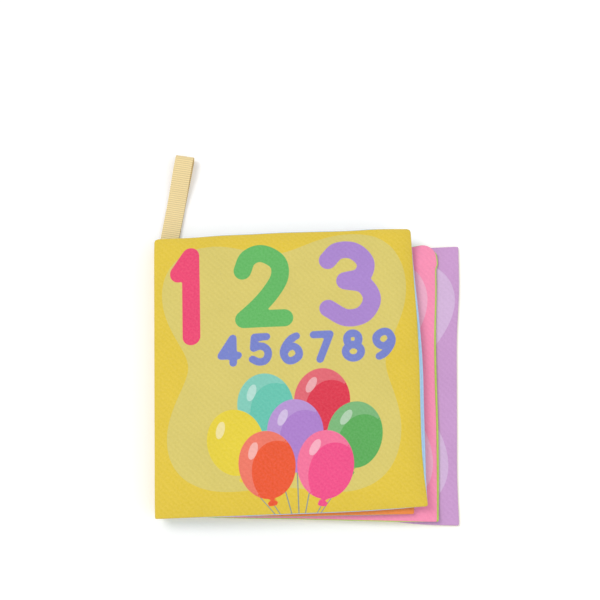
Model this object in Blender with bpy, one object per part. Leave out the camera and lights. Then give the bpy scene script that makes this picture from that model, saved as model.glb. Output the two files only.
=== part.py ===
"""A soft cloth book for babies: four padded cloth leaves sewn along one spine, with a ribbon loop.

Run it with: blender --background --python part.py

The book lies closed on its back cover. +X runs from the spine to the free edges, +Y runs up the page, and
+Z points out of the front cover. The origin is on the back cover's resting face, half way up the spine.
Each leaf is a pillow case: a front cloth and a back cloth sewn round three edges, with a pad of wadding and
a sheet of crinkle film inside. Each leaf turns about a line on the outer face of the spine.
"""

import math

import bmesh
import bpy
from mathutils import Vector

MM = 0.001

# The book as a whole.
LEAF_HEIGHT = 150.0 * MM
FRONT_COVER_WIDTH = 140.0 * MM
UPPER_LEAF_WIDTH = 132.8 * MM
LOWER_LEAF_WIDTH = 145.9 * MM
BACK_COVER_WIDTH = 156.8 * MM

# Layers, from the outside of a leaf to its middle.
CLOTH_THICKNESS = 0.4 * MM
FILM_THICKNESS = 0.2 * MM
FILM_RIPPLE = 0.1 * MM
LAYER_GAP = 0.3 * MM
LEAF_THICKNESS = 4.4 * MM
LEAF_GAP = 0.3 * MM

# The spine, where the leaves are pinched together and sewn.
ROOT_PITCH = 3.7 * MM
SPINE_RISE = 24.0 * MM
SPINE_CORNER_RADIUS = 1.0 * MM
FOLD_GAP = 0.3 * MM

# The free edges, where the two cloths of a leaf meet in a seam.
EDGE_ROLL = 12.0 * MM
CORNER_RADIUS = 2.5 * MM
SEAM_GAP = 0.3 * MM
LINING_PEEK = 0.8 * MM

# What lies inside a leaf, measured in from its edges.
WADDING_ROOT_INSET = 4.0 * MM
WADDING_EDGE_INSET = 6.0 * MM
FILM_ROOT_INSET = 16.0 * MM
FILM_EDGE_INSET = 10.0 * MM
FILM_RIPPLES = 5
SEAM_INSET = 1.5 * MM
SEAM_THREAD_DIAMETER = 0.4 * MM

# The row of stitches along the outside of the spine.
SPINE_THREAD_DIAMETER = 0.5 * MM
SPINE_STITCH_LENGTH = 5.0 * MM
SPINE_STITCH_DIP = 0.1 * MM
SPINE_STITCH_BELOW_FOLD = 0.6 * MM
SPINE_THREAD_CLEARANCE = 0.05 * MM
SPINE_STITCH_MARGIN = 5.0 * MM

# The ribbon loop, which comes out of the back cover's top seam beside the spine.
RIBBON_WIDTH = 10.0 * MM
RIBBON_THICKNESS = 0.4 * MM
RIBBON_LOOP_LENGTH = 55.0 * MM
RIBBON_FROM_SPINE = 6.3 * MM
RIBBON_LEAN = math.radians(11.0)
RIBBON_FLOOR_GAP = 0.15 * MM
RIBBON_BIGHT_RADIUS = 3.0 * MM
RIBBON_SETTLE_LENGTH = 5.0 * MM
RIBBON_OPENS_AT_SHARE = 0.42
RIBBON_BIGHT_STEPS = 10
RIBBON_RETURN_STEPS = 7

# How each leaf's free edge lies against the spine, as shares of LEAF_HEIGHT: how far its lower corner
# hangs below square, how far it leans out from bottom to top, and how long it is. The lower leaves fan out.
SAG_SHARES = {"back_cover": 0.054, "lower_leaf": 0.040, "upper_leaf": 0.011, "front_cover": -0.007}
LEAN_SHARES = {"back_cover": 0.070, "lower_leaf": 0.054, "upper_leaf": 0.028, "front_cover": 0.003}
FREE_EDGE_SHARES = {"back_cover": 1.017, "lower_leaf": 0.998, "upper_leaf": 1.0, "front_cover": 1.001}

# Worked out from the sizes above.
RIM_HALF = CLOTH_THICKNESS + SEAM_GAP / 2
ROOT_HALF = (ROOT_PITCH - LEAF_GAP) / 2
CORE_HALF = LEAF_THICKNESS / 2
LEAF_PITCH = LEAF_THICKNESS + LEAF_GAP
SPINE_X = -BACK_COVER_WIDTH / 2
LEAF_ROOT_X = SPINE_X + CLOTH_THICKNESS + LAYER_GAP
SPINE_TOP_Y = LEAF_HEIGHT / 2
FILM_ROOM = FILM_THICKNESS + 2 * FILM_RIPPLE + LAYER_GAP

# How finely a leaf's layers are divided between the spine and the level part.
ROOT_STEPS = 6

LEAF_ORDER = ("back_cover", "lower_leaf", "upper_leaf", "front_cover")
WIDTHS = {
    "back_cover": BACK_COVER_WIDTH,
    "lower_leaf": LOWER_LEAF_WIDTH,
    "upper_leaf": UPPER_LEAF_WIDTH,
    "front_cover": FRONT_COVER_WIDTH,
}

# The two cloths of each leaf: the one towards the front of the book, and the one behind it.
CLOTH_NAMES = {
    "back_cover": ("back_cover_lining_cloth", "back_cover_outer_cloth"),
    "lower_leaf": ("lower_leaf_front_cloth", "lower_leaf_back_cloth"),
    "upper_leaf": ("upper_leaf_front_cloth", "upper_leaf_back_cloth"),
    "front_cover": ("front_cover_outer_cloth", "front_cover_lining_cloth"),
}
CLOTH_COLOURS = {
    "front_cover_outer_cloth": (0.80, 0.55, 0.06),
    "front_cover_lining_cloth": (0.36, 0.60, 0.83),
    "upper_leaf_front_cloth": (0.80, 0.28, 0.05),
    "upper_leaf_back_cloth": (0.14, 0.55, 0.46),
    "lower_leaf_front_cloth": (0.87, 0.24, 0.42),
    "lower_leaf_back_cloth": (0.38, 0.60, 0.09),
    "back_cover_lining_cloth": (0.56, 0.33, 0.67),
    "back_cover_outer_cloth": (0.80, 0.55, 0.06),
}
WHITE_WADDING = (0.86, 0.86, 0.84)
CLEAR_FILM = (0.75, 0.80, 0.84)
CREAM_THREAD = (0.80, 0.72, 0.50)
CREAM_RIBBON = (0.84, 0.62, 0.28)


def smoothstep(share):
    share = min(max(share, 0.0), 1.0)
    return share * share * (3 - 2 * share)


def clear_scene():
    for obj in list(bpy.data.objects):
        bpy.data.objects.remove(obj, do_unlink=True)


def make_collection(name):
    collection = bpy.data.collections.new(name)
    bpy.context.scene.collection.children.link(collection)
    return collection


def make_material(name, colour, roughness):
    material = bpy.data.materials.new(name)
    material.use_nodes = True
    shader = material.node_tree.nodes["Principled BSDF"]
    shader.inputs["Base Color"].default_value = (*colour, 1.0)
    shader.inputs["Roughness"].default_value = roughness
    shader.inputs["Metallic"].default_value = 0.0
    return material


def make_empty(name, location, parent, collection):
    """An empty at a world place, parented to another empty that isn't turned."""
    empty = bpy.data.objects.new(name, None)
    collection.objects.link(empty)
    empty.parent = parent
    empty.location = location - (parent.matrix_world.translation if parent else Vector())
    bpy.context.view_layer.update()
    return empty


def hang_on(obj, pivot):
    """Gives a piece modelled in world places its origin on the pivot's axis."""
    obj.parent = pivot
    obj.location = (0, 0, 0)


class Leaf:
    """Where the cloths and fillings of one leaf lie. a runs from root to free edge and b from bottom to top."""

    def __init__(self, name):
        index = LEAF_ORDER.index(name)
        self.name = name
        self.reach = SPINE_X + WIDTHS[name] - LEAF_ROOT_X
        self.peek = 0.0 if name == "back_cover" else LINING_PEEK
        self.sag = SAG_SHARES[name] * LEAF_HEIGHT
        self.lean = LEAN_SHARES[name] * LEAF_HEIGHT
        self.free_edge = FREE_EDGE_SHARES[name] * LEAF_HEIGHT
        self.root_middle = (index + 0.5) * ROOT_PITCH
        self.plateau_middle = CORE_HALF + index * LEAF_PITCH
        self.fold_below = index * ROOT_PITCH

    def middle(self, a):
        """Height of the leaf's middle surface: low at the spine, then level."""
        rise = smoothstep(a * self.reach / SPINE_RISE)
        return self.root_middle + (self.plateau_middle - self.root_middle) * rise

    def half(self, a, b):
        """Half the leaf's thickness, which falls away to the sewn edges and to the spine."""
        core = ROOT_HALF + (CORE_HALF - ROOT_HALF) * smoothstep(a * self.reach / SPINE_RISE)
        roll = 1.0
        for distance in ((1 - a) * self.reach, b * LEAF_HEIGHT, (1 - b) * LEAF_HEIGHT):
            inward = 1 - min(distance / EDGE_ROLL, 1.0)
            roll *= 1 - inward * inward
        return RIM_HALF + (core - RIM_HALF) * roll

    def plan(self, a, b, grow=0.0):
        """Where (a, b) lies in plan, with the free corners rounded and the free edges moved out by grow."""
        from_free, from_bottom = (1 - a) * self.reach, b * LEAF_HEIGHT
        from_top = LEAF_HEIGHT - from_bottom
        from_end = min(from_bottom, from_top)
        if from_free < CORNER_RADIUS and from_end < CORNER_RADIUS:
            p, q = 1 - from_free / CORNER_RADIUS, 1 - from_end / CORNER_RADIUS
            from_free = CORNER_RADIUS * (1 - p * math.sqrt(1 - q * q / 2))
            from_end = CORNER_RADIUS * (1 - q * math.sqrt(1 - p * p / 2))
            a = 1 - from_free / self.reach
            b = from_end / LEAF_HEIGHT if from_bottom < from_top else 1 - from_end / LEAF_HEIGHT
        spread = 2 * b - 1
        root = Vector((LEAF_ROOT_X, b * LEAF_HEIGHT))
        free = Vector((LEAF_ROOT_X + self.reach + self.lean * b + grow, b * self.free_edge - self.sag))
        place = root.lerp(free, a)
        return place.x, place.y - LEAF_HEIGHT / 2 + spread * grow

    def inside(self, a, b):
        """Lower and upper inner faces of the two cloths."""
        middle, room = self.middle(a), self.half(a, b) - CLOTH_THICKNESS
        return middle - room, middle + room


def lines_along(length, near_start, near_end, between_shares):
    """Shares of a length at which a cloth's grid has its lines."""
    shares = [distance / length for distance in near_start]
    shares += [1 - distance / length for distance in near_end]
    return sorted(shares + list(between_shares))


def root_distances(nearest=0.0):
    """Distances from the root at which every layer of a leaf bends alike on its way up from the spine."""
    steps = [SPINE_RISE * step / ROOT_STEPS for step in range(ROOT_STEPS + 1)]
    return [nearest] + [distance for distance in steps if distance > nearest + LAYER_GAP]


def closed_sheet(name, lower, upper, a_lines, b_lines, pivot, material, collection):
    """A closed solid between two surfaces, each a function of (a, b) that gives a place."""
    mesh = bmesh.new()
    columns, rows = len(a_lines) - 1, len(b_lines) - 1
    bmesh.ops.create_grid(mesh, x_segments=columns, y_segments=rows, size=0.5)
    grid = mesh.verts[:]
    copied = bmesh.ops.extrude_face_region(mesh, geom=mesh.faces[:], use_keep_orig=True)
    raised = [item for item in copied["geom"] if isinstance(item, bmesh.types.BMVert)]
    origin = pivot.matrix_world.translation
    for verts, surface in ((grid, lower), (raised, upper)):
        for vert in verts:
            a = a_lines[round((vert.co.x + 0.5) * columns)]
            b = b_lines[round((vert.co.y + 0.5) * rows)]
            vert.co = Vector(surface(a, b)) - origin
    bmesh.ops.recalc_face_normals(mesh, faces=mesh.faces[:])
    data = bpy.data.meshes.new(name)
    mesh.to_mesh(data)
    mesh.free()
    data.shade_smooth()
    data.set_sharp_from_angle(angle=math.radians(40))
    data.materials.append(material)
    obj = bpy.data.objects.new(name, data)
    collection.objects.link(obj)
    hang_on(obj, pivot)
    return obj


def thread(name, places, diameter, pivot, material, collection):
    """A sewing thread as one tube through world places."""
    curve = bpy.data.curves.new(name, "CURVE")
    curve.dimensions = "3D"
    curve.bevel_depth = diameter / 2
    curve.bevel_resolution = 1
    curve.use_fill_caps = True
    spline = curve.splines.new("POLY")
    spline.points.add(len(places) - 1)
    origin = pivot.matrix_world.translation
    for point, place in zip(spline.points, places):
        point.co = (*(Vector(place) - origin), 1.0)
    curve.materials.append(material)
    obj = bpy.data.objects.new(name, curve)
    collection.objects.link(obj)
    hang_on(obj, pivot)
    return obj


def cloth_lines(leaf):
    """Grid lines of a leaf's cloths, close together near the edges where the cloth curves."""
    roll = EDGE_ROLL - CORNER_RADIUS
    edge = [0.0, CORNER_RADIUS / 3, CORNER_RADIUS, CORNER_RADIUS + roll / 3, CORNER_RADIUS + 2 * roll / 3, EDGE_ROLL]
    a_lines = lines_along(leaf.reach, root_distances(), edge, (0.5,))
    b_lines = lines_along(LEAF_HEIGHT, edge, edge, (0.35, 0.65))
    return a_lines, b_lines


def front_surfaces(leaf):
    """Inner and outer surfaces of the cloth that faces the front of the book."""

    def inner(a, b):
        return (*leaf.plan(a, b), leaf.inside(a, b)[1])

    def outer(a, b):
        return (*leaf.plan(a, b), leaf.inside(a, b)[1] + CLOTH_THICKNESS)

    return inner, outer


def back_surfaces(leaf):
    """Outer and inner surfaces of the cloth behind, which peeks out past the front one at the seam."""

    def outer(a, b):
        return (*leaf.plan(a, b, leaf.peek), leaf.inside(a, b)[0] - CLOTH_THICKNESS)

    def inner(a, b):
        return (*leaf.plan(a, b, leaf.peek), leaf.inside(a, b)[0])

    return outer, inner


def wrapped(surface, fold_height, from_surface, direction):
    """Carries a cover's outer cloth round the spine: a from 0 to -1 is the corner, and -2 is the fold.

    from_surface is how far this surface lies in from the cloth's outer face, and direction is 1 where the
    cloth comes down from the front of the book and -1 where it comes up from the back."""
    bend = SPINE_CORNER_RADIUS - from_surface

    def around(a, b):
        if a > 0:
            return surface(a, b)
        _, y, z = surface(0.0, b)
        centre_x = SPINE_X + SPINE_CORNER_RADIUS
        centre_z = z - direction * bend
        turn = min(-a, 1.0) * math.pi / 2
        x = centre_x - bend * math.sin(turn)
        height = centre_z + direction * bend * math.cos(turn)
        if a < -1:
            height = fold_height
        return x, y, height

    return around


def make_cover_cloth(name, leaf, surfaces, direction, fold_height, from_surfaces, pivot, material, collection):
    """A cover's outer cloth with the share of the spine that turns with it."""
    a_lines, b_lines = cloth_lines(leaf)
    first = (SPINE_X + SPINE_CORNER_RADIUS - LEAF_ROOT_X) / leaf.reach
    a_lines = [-2.0, -1.0, -0.5, 0.0] + [a for a in a_lines if a > first]
    lower, upper = (
        wrapped(surface, fold_height, inset, direction) for surface, inset in zip(surfaces, from_surfaces)
    )
    return closed_sheet(name, lower, upper, a_lines, b_lines, pivot, material, collection)


def make_cloths(leaf, pivot, collection):
    """The two printed cloths of a leaf."""
    front_name, back_name = CLOTH_NAMES[leaf.name]
    materials = [make_material(name, CLOTH_COLOURS[name], 0.85) for name in (front_name, back_name)]
    a_lines, b_lines = cloth_lines(leaf)
    if leaf.name == "front_cover":
        fold = leaf.fold_below + FOLD_GAP / 2
        insets = (CLOTH_THICKNESS, 0.0)
        surfaces = front_surfaces(leaf)
        make_cover_cloth(front_name, leaf, surfaces, 1, fold, insets, pivot, materials[0], collection)
    else:
        closed_sheet(front_name, *front_surfaces(leaf), a_lines, b_lines, pivot, materials[0], collection)
    if leaf.name == "back_cover":
        fold = ROOT_PITCH - FOLD_GAP / 2
        insets = (0.0, CLOTH_THICKNESS)
        surfaces = back_surfaces(leaf)
        make_cover_cloth(back_name, leaf, surfaces, -1, fold, insets, pivot, materials[1], collection)
    else:
        closed_sheet(back_name, *back_surfaces(leaf), a_lines, b_lines, pivot, materials[1], collection)


def make_wadding(leaf, pivot, collection):
    """The pad of wadding, against the back cloth. It is thinner where the film lies on it."""
    step_in = FILM_EDGE_INSET - WADDING_EDGE_INSET

    def film_share(a, b):
        share = smoothstep(a * leaf.reach / FILM_ROOT_INSET)
        for distance in ((1 - a) * leaf.reach, b * LEAF_HEIGHT, (1 - b) * LEAF_HEIGHT):
            share *= smoothstep((distance - WADDING_EDGE_INSET) / step_in)
        return share

    def lower(a, b):
        return (*leaf.plan(a, b), leaf.inside(a, b)[0] + LAYER_GAP)

    def upper(a, b):
        return (*leaf.plan(a, b), leaf.inside(a, b)[1] - LAYER_GAP - FILM_ROOM * film_share(a, b))

    edge = [WADDING_EDGE_INSET, FILM_EDGE_INSET, EDGE_ROLL]
    a_lines = lines_along(leaf.reach, root_distances(WADDING_ROOT_INSET), edge, (0.5,))
    b_lines = lines_along(LEAF_HEIGHT, edge, edge, (0.5,))
    material = make_material(leaf.name + "_wadding", WHITE_WADDING, 0.95)
    closed_sheet(leaf.name + "_wadding", lower, upper, a_lines, b_lines, pivot, material, collection)


def make_crinkle_film(leaf, pivot, collection):
    """The rippled film that rustles, between the wadding and the front cloth."""
    level = SPINE_RISE / leaf.reach
    end = 1 - FILM_EDGE_INSET / leaf.reach

    def base(a, b):
        ripple = FILM_RIPPLE * math.sin(2 * math.pi * FILM_RIPPLES * max(a - level, 0.0) / (end - level))
        return leaf.inside(a, b)[1] - LAYER_GAP - FILM_RIPPLE - FILM_THICKNESS + ripple

    def lower(a, b):
        return (*leaf.plan(a, b), base(a, b))

    def upper(a, b):
        return (*leaf.plan(a, b), base(a, b) + FILM_THICKNESS)

    steps = 4 * FILM_RIPPLES
    a_lines = [distance / leaf.reach for distance in root_distances(FILM_ROOT_INSET)]
    a_lines += [level + (end - level) * (step + 1) / steps for step in range(steps)]
    edge = [FILM_EDGE_INSET, EDGE_ROLL]
    b_lines = lines_along(LEAF_HEIGHT, edge, edge, (0.5,))
    material = make_material(leaf.name + "_crinkle_film", CLEAR_FILM, 0.25)
    closed_sheet(leaf.name + "_crinkle_film", lower, upper, a_lines, b_lines, pivot, material, collection)


def make_seam_thread(leaf, pivot, collection):
    """The thread of the seam that closes the leaf on its three free edges, inside the turned edge."""
    inset_a, inset_b = SEAM_INSET / leaf.reach, SEAM_INSET / LEAF_HEIGHT
    along = [distance / leaf.reach for distance in root_distances()[1:]]
    corner = 1 - 2 * inset_a
    route = [(a, inset_b) for a in along] + [(corner, inset_b), (1 - inset_a, 2 * inset_b)]
    route += [(1 - inset_a, 0.5), (1 - inset_a, 1 - 2 * inset_b), (corner, 1 - inset_b)]
    route += [(a, 1 - inset_b) for a in reversed(along)]
    places = [(*leaf.plan(a, b), leaf.middle(a)) for a, b in route]
    material = make_material(leaf.name + "_seam_thread", CREAM_THREAD, 0.7)
    thread(leaf.name + "_seam_thread", places, SEAM_THREAD_DIAMETER, pivot, material, collection)


def make_spine_strip(leaf, pivot, collection):
    """The strip of the outer cloth that covers an inner leaf's root on the outside of the spine."""
    bottom = leaf.fold_below + FOLD_GAP / 2
    top = leaf.fold_below + ROOT_PITCH - FOLD_GAP / 2

    def face(z):
        def surface(a, b):
            return SPINE_X + a * CLOTH_THICKNESS, b * LEAF_HEIGHT - LEAF_HEIGHT / 2, z

        return surface

    material = make_material(leaf.name + "_spine_cloth", CLOTH_COLOURS["front_cover_outer_cloth"], 0.85)
    name = leaf.name + "_spine_cloth"
    closed_sheet(name, face(bottom), face(top), (0.0, 1.0), (0.0, 1.0), pivot, material, collection)


def make_spine_stitching(pivot, collection):
    """The thread that holds the leaves together, seen outside as a row of stitches just below the middle fold."""
    height = 2 * ROOT_PITCH - SPINE_STITCH_BELOW_FOLD
    run = LEAF_HEIGHT - 2 * SPINE_STITCH_MARGIN
    stitches = round(run / SPINE_STITCH_LENGTH)
    nearest = SPINE_X - SPINE_THREAD_DIAMETER / 2 - SPINE_THREAD_CLEARANCE
    places = []
    for step in range(2 * stitches + 1):
        dip = 0.0 if step % 2 == 0 else SPINE_STITCH_DIP
        places.append((nearest - dip, -run / 2 + run * step / (2 * stitches), height))
    material = make_material("spine_stitching", CREAM_THREAD, 0.7)
    thread("spine_stitching", places, SPINE_THREAD_DIAMETER, pivot, material, collection)


def ribbon_route():
    """Distance from the seam and height along the folded ribbon's middle line, out and back again."""
    low = RIBBON_FLOOR_GAP + RIBBON_THICKNESS / 2
    high = low + 2 * RIBBON_BIGHT_RADIUS
    tail_low = ROOT_PITCH / 2 - (RIBBON_THICKNESS + LAYER_GAP) / 2
    tail_high = tail_low + RIBBON_THICKNESS + LAYER_GAP
    turn_at = RIBBON_LOOP_LENGTH - RIBBON_BIGHT_RADIUS
    route = [(LAYER_GAP, tail_low), (RIBBON_SETTLE_LENGTH, low), (turn_at / 2, low)]
    for step in range(RIBBON_BIGHT_STEPS + 1):
        turn = math.pi * step / RIBBON_BIGHT_STEPS
        out = turn_at + RIBBON_BIGHT_RADIUS * math.sin(turn)
        route.append((out, low + RIBBON_BIGHT_RADIUS * (1 - math.cos(turn))))
    for step in range(1, RIBBON_RETURN_STEPS + 1):
        opened = 1 - step / RIBBON_RETURN_STEPS
        out = turn_at * (RIBBON_OPENS_AT_SHARE + (1 - RIBBON_OPENS_AT_SHARE) * opened)
        route.append((out, tail_high + (high - tail_high) * smoothstep(opened)))
    route.append((LAYER_GAP, tail_high))
    return route


def make_ribbon_loop(pivot, collection):
    """The hanging loop: one ribbon folded in two, leaning away from the spine."""
    route = ribbon_route()
    count = len(route) - 1
    start = Vector((SPINE_X + RIBBON_FROM_SPINE, SPINE_TOP_Y, 0))
    along = Vector((math.sin(RIBBON_LEAN), math.cos(RIBBON_LEAN), 0))
    across = Vector((math.cos(RIBBON_LEAN), -math.sin(RIBBON_LEAN), 0))

    def normal(step):
        before, after = route[max(step - 1, 0)], route[min(step + 1, count)]
        slope = Vector((after[0] - before[0], after[1] - before[1])).normalized()
        return Vector((-slope.y, slope.x))

    def side(sign):
        def surface(a, b):
            step = round(a * count)
            out, height = Vector(route[step]) + normal(step) * sign * RIBBON_THICKNESS / 2
            shift = (b - 0.5) * RIBBON_WIDTH
            # Both tails end square to the leaf's edge, not to the ribbon.
            if step in (0, count):
                out -= shift * math.tan(-RIBBON_LEAN)
            return start + along * out + across * shift + Vector((0, 0, height))

        return surface

    a_lines = [step / count for step in range(count + 1)]
    material = make_material("ribbon_loop", CREAM_RIBBON, 0.6)
    closed_sheet("ribbon_loop", side(-1), side(1), a_lines, (0.0, 1.0), pivot, material, collection)


def main():
    clear_scene()
    collection = make_collection("cloth_book")
    base = make_empty("cloth_book_base", Vector((0, 0, 0)), None, collection)
    pivot = base
    for name in LEAF_ORDER:
        leaf = Leaf(name)
        if name != "back_cover":
            axis = Vector((SPINE_X, 0, leaf.fold_below))
            pivot = make_empty(name + "_hinge", axis, pivot, collection)
        make_cloths(leaf, pivot, collection)
        make_wadding(leaf, pivot, collection)
        make_crinkle_film(leaf, pivot, collection)
        make_seam_thread(leaf, pivot, collection)
        if name in ("lower_leaf", "upper_leaf"):
            make_spine_strip(leaf, pivot, collection)
        if name == "lower_leaf":
            make_spine_stitching(pivot, collection)
    make_ribbon_loop(base, collection)


main()
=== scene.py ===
"""The looks of a soft cloth book for babies, built round its solid model.

Four padded leaves are sewn along one spine. Each leaf is a pillow case of two printed cloths, turned right
side out, with wadding and a crinkle film inside. The book lies closed on its back cover: +X runs from the
spine to the free edges, +Y up the page, and +Z out of the front cover.
"""

import math

import bmesh
import bpy
import numpy as np
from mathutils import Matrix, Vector


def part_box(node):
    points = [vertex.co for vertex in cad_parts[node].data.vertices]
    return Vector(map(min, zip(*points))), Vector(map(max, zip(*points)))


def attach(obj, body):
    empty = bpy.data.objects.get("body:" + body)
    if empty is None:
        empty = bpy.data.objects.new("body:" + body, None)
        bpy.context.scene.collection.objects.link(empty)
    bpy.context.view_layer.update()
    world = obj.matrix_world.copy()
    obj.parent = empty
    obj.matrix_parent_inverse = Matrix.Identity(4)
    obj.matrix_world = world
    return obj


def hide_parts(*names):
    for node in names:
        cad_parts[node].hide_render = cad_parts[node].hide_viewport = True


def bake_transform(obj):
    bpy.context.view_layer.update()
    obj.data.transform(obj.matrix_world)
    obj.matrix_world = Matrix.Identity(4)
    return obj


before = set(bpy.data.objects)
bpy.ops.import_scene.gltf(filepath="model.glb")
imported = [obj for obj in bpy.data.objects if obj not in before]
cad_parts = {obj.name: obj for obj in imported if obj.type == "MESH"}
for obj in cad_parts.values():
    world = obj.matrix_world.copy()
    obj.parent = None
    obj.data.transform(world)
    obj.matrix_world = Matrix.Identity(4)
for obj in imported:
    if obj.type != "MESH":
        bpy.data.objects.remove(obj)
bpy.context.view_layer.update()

MM = 0.001

# Read from the solid model: the spine's outer face, the height of a leaf and how thick its cloth is. The
# strip of spine cloth lies over the root of the second leaf, which tells how far apart the roots are.
strip_low, strip_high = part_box("lower_leaf_spine_cloth")
SPINE_X = strip_low.x
LEAF_HEIGHT = strip_high.y - strip_low.y
CLOTH_THICKNESS = strip_high.x - strip_low.x
ROOT_PITCH = (strip_low.z + strip_high.z) / 3

# The leaves, from the back of the book to the front. What is listed by leaf is in this order.
LEAF_ORDER = ("back_cover", "lower_leaf", "upper_leaf", "front_cover")


def by_leaf(*values):
    return dict(zip(LEAF_ORDER, values))


# Widths are measured from the spine's outer face.
LEAF_WIDTHS = by_leaf(156.8 * MM, 145.9 * MM, 132.8 * MM, 140.0 * MM)
LEAF_THICKNESS = 4.4 * MM
LEAF_GAP = 0.3 * MM
ROOT_GAP = 0.3 * MM
ROOT_CLEARANCE = 0.3 * MM
SPINE_RISE = 24.0 * MM
SPINE_CORNER_RADIUS = 1.0 * MM

# How each free edge lies, as shares of the leaf's height: how far its lower corner hangs below square, how
# far it leans out from bottom to top, and how long it is.
SAG_SHARES = by_leaf(0.054, 0.040, 0.011, -0.007)
LEAN_SHARES = by_leaf(0.070, 0.054, 0.028, 0.003)
FREE_EDGE_SHARES = by_leaf(1.017, 0.998, 1.0, 1.001)

# A soft leaf's edges stray from straight. How far each lies outside it at even steps: from the spine
# outwards along the lower and the upper edge, and from the bottom up along the free edge.
STRAIGHT = (0.0, 0.0)
LOWER_STRAYS = {
    "back_cover": MM * np.array([-2.8, -2.6, -2.4, -2.3, -2.1, -2.2, -1.8, -0.4, 0.0]),
    "lower_leaf": MM * np.array([-2.2, -1.6, -1.2, -0.4, 0.2]),
    "upper_leaf": MM * np.array([-1.0, -0.9, 0.3, 0.5, 0.7]),
    "front_cover": MM * np.array([0.25, 0.7, 0.9, 1.0, 0.2]),
}
UPPER_STRAYS = {
    "back_cover": MM * np.array([0.0, 0.0, 0.0, 0.0, 0.0, 0.0, 0.0, -0.1, 0.7]),
    "lower_leaf": STRAIGHT,
    "upper_leaf": STRAIGHT,
    "front_cover": MM * np.array([0.0, 0.7, 1.35, 1.35, 1.5, 1.2, 0.9, 1.15, 0.5]),
}
FREE_STRAYS = {
    "back_cover": MM * np.array([-0.2, -1.1, -1.05, -1.0, -0.8, 0.5, 0.35]),
    "lower_leaf": MM * np.array([-1.1, -0.8, -0.75, -1.15, -1.0, -0.05, 0.0]),
    "upper_leaf": STRAIGHT,
    "front_cover": MM * np.array([-0.3, -1.5, -0.9, 0.05, 0.3, -0.05, -0.2]),
}
STRAY_FADE = 40.0 * MM

# Beside the spine, the ribbon's tails push the top seams up, and the spine's top corner is rounded.
SPINE_TOP_RISE = 1.4 * MM
SPINE_TOP_RADIUS = 2.2 * MM

# How far the front cover's cloth draws in at its foot, on its way down the spine.
SPINE_FOOT_RISE = 1.7 * MM

# The sewn edges, where the two cloths of a leaf turn in and meet.
EDGE_ROLL = 12.0 * MM
RIM_HALF = 0.55 * MM
SEAM_HALF_GAP = 0.02 * MM
HEM_THICKNESS = 0.28 * MM
SEAM_ALLOWANCE = 3.5 * MM
CORNER_RADIUS = 1.1 * MM
TOP_CORNER_RADII = by_leaf(CORNER_RADIUS, 4.6 * MM, CORNER_RADIUS, 2.2 * MM)
LIP_STEPS = 4
BEAD_STEPS = 8
GRID_PITCH = 1.2 * MM

# A soft leaf hangs down a little at its sewn edges.
DROOPS = by_leaf(0.8 * MM, 1.2 * MM, 1.0 * MM, 1.7 * MM)

# The cloth behind rolls over the seam and shows past the cloth in front. These are its widest parts along the
# free edge, and the shares of them that are left at the lower and the upper corner.
SIDE_PEEKS = by_leaf(0.0, 1.05 * MM, 0.9 * MM, 1.75 * MM)
LOW_PEEK_SHARES = by_leaf(0.0, 0.80, 0.0, 0.0)
TOP_PEEK_SHARES = by_leaf(0.0, 0.50, 0.0, 0.0)
PEEK_STARTS_SHARE = 0.22
PEEK_THINS_SHARE = 0.58
PEEK_ENDS_SHARE = 0.03
END_PEEKS = by_leaf(0.0, 0.40 * MM, 0.15 * MM, 0.25 * MM)
PEEK_FADE = 9.0 * MM
FULL_BEAD_PEEK = 1.2 * MM

# The lower leaf's top free corner is stuffed fuller than the rest: it swells out past both edges, most at a
# little way from the corner, and stops short beyond that.
STUFFED_BULGE = 1.0 * MM
STUFFED_RISE = 1.2 * MM
STUFFED_LIFT = 0.9 * MM
STUFFED_ACROSS = 6.2 * MM
STUFFED_DOWN = 9.5 * MM
STUFFED_ACROSS_FADE = 6.5 * MM
STUFFED_DOWN_FADE = 4.0 * MM
STUFFED_REACH = 13.0 * MM

# What lies inside a leaf, measured in from its sewn edges.
WADDING_ROOT_INSET = 4.0 * MM
WADDING_EDGE_INSET = 6.0 * MM
WADDING_CLEARANCE = 0.18 * MM
WADDING_LUMPS = 0.06 * MM
WADDING_WAVES = 8
WADDING_WAVE_LENGTHS = (WADDING_EDGE_INSET, 4 * WADDING_EDGE_INSET)
FILM_ROOT_INSET = 16.0 * MM
FILM_EDGE_INSET = 10.0 * MM
FILM_ROOM = 0.65 * MM
FILM_THICKNESS = 0.06 * MM
FILM_CRINKLE = 0.15 * MM
FILM_WAVES = 9
FILM_WAVE_LENGTHS = (FILM_EDGE_INSET / 2, 2 * FILM_EDGE_INSET)
SEAM_INSET = 1.5 * MM
SEAM_STITCH_LENGTH = 2.5 * MM
SEAM_THREAD_DIAMETER = 0.30 * MM

# The stitches that hold the leaves together, in a shallow groove on the back of the spine.
SPINE_STITCH_BELOW_FOLD = 0.6 * MM
SPINE_STITCH_LENGTH = 5.0 * MM
SPINE_STITCH_MARGIN = 5.0 * MM
SPINE_THREAD_DIAMETER = 0.5 * MM
SPINE_THREAD_PROUD = 0.10 * MM
SPINE_THREAD_DIP = 0.42 * MM
STITCH_SHOWN_SHARE = 0.70
STITCH_STEPS = 10
GROOVE_DEPTH = 0.14 * MM
GROOVE_HALF_WIDTH = 0.7 * MM

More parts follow.
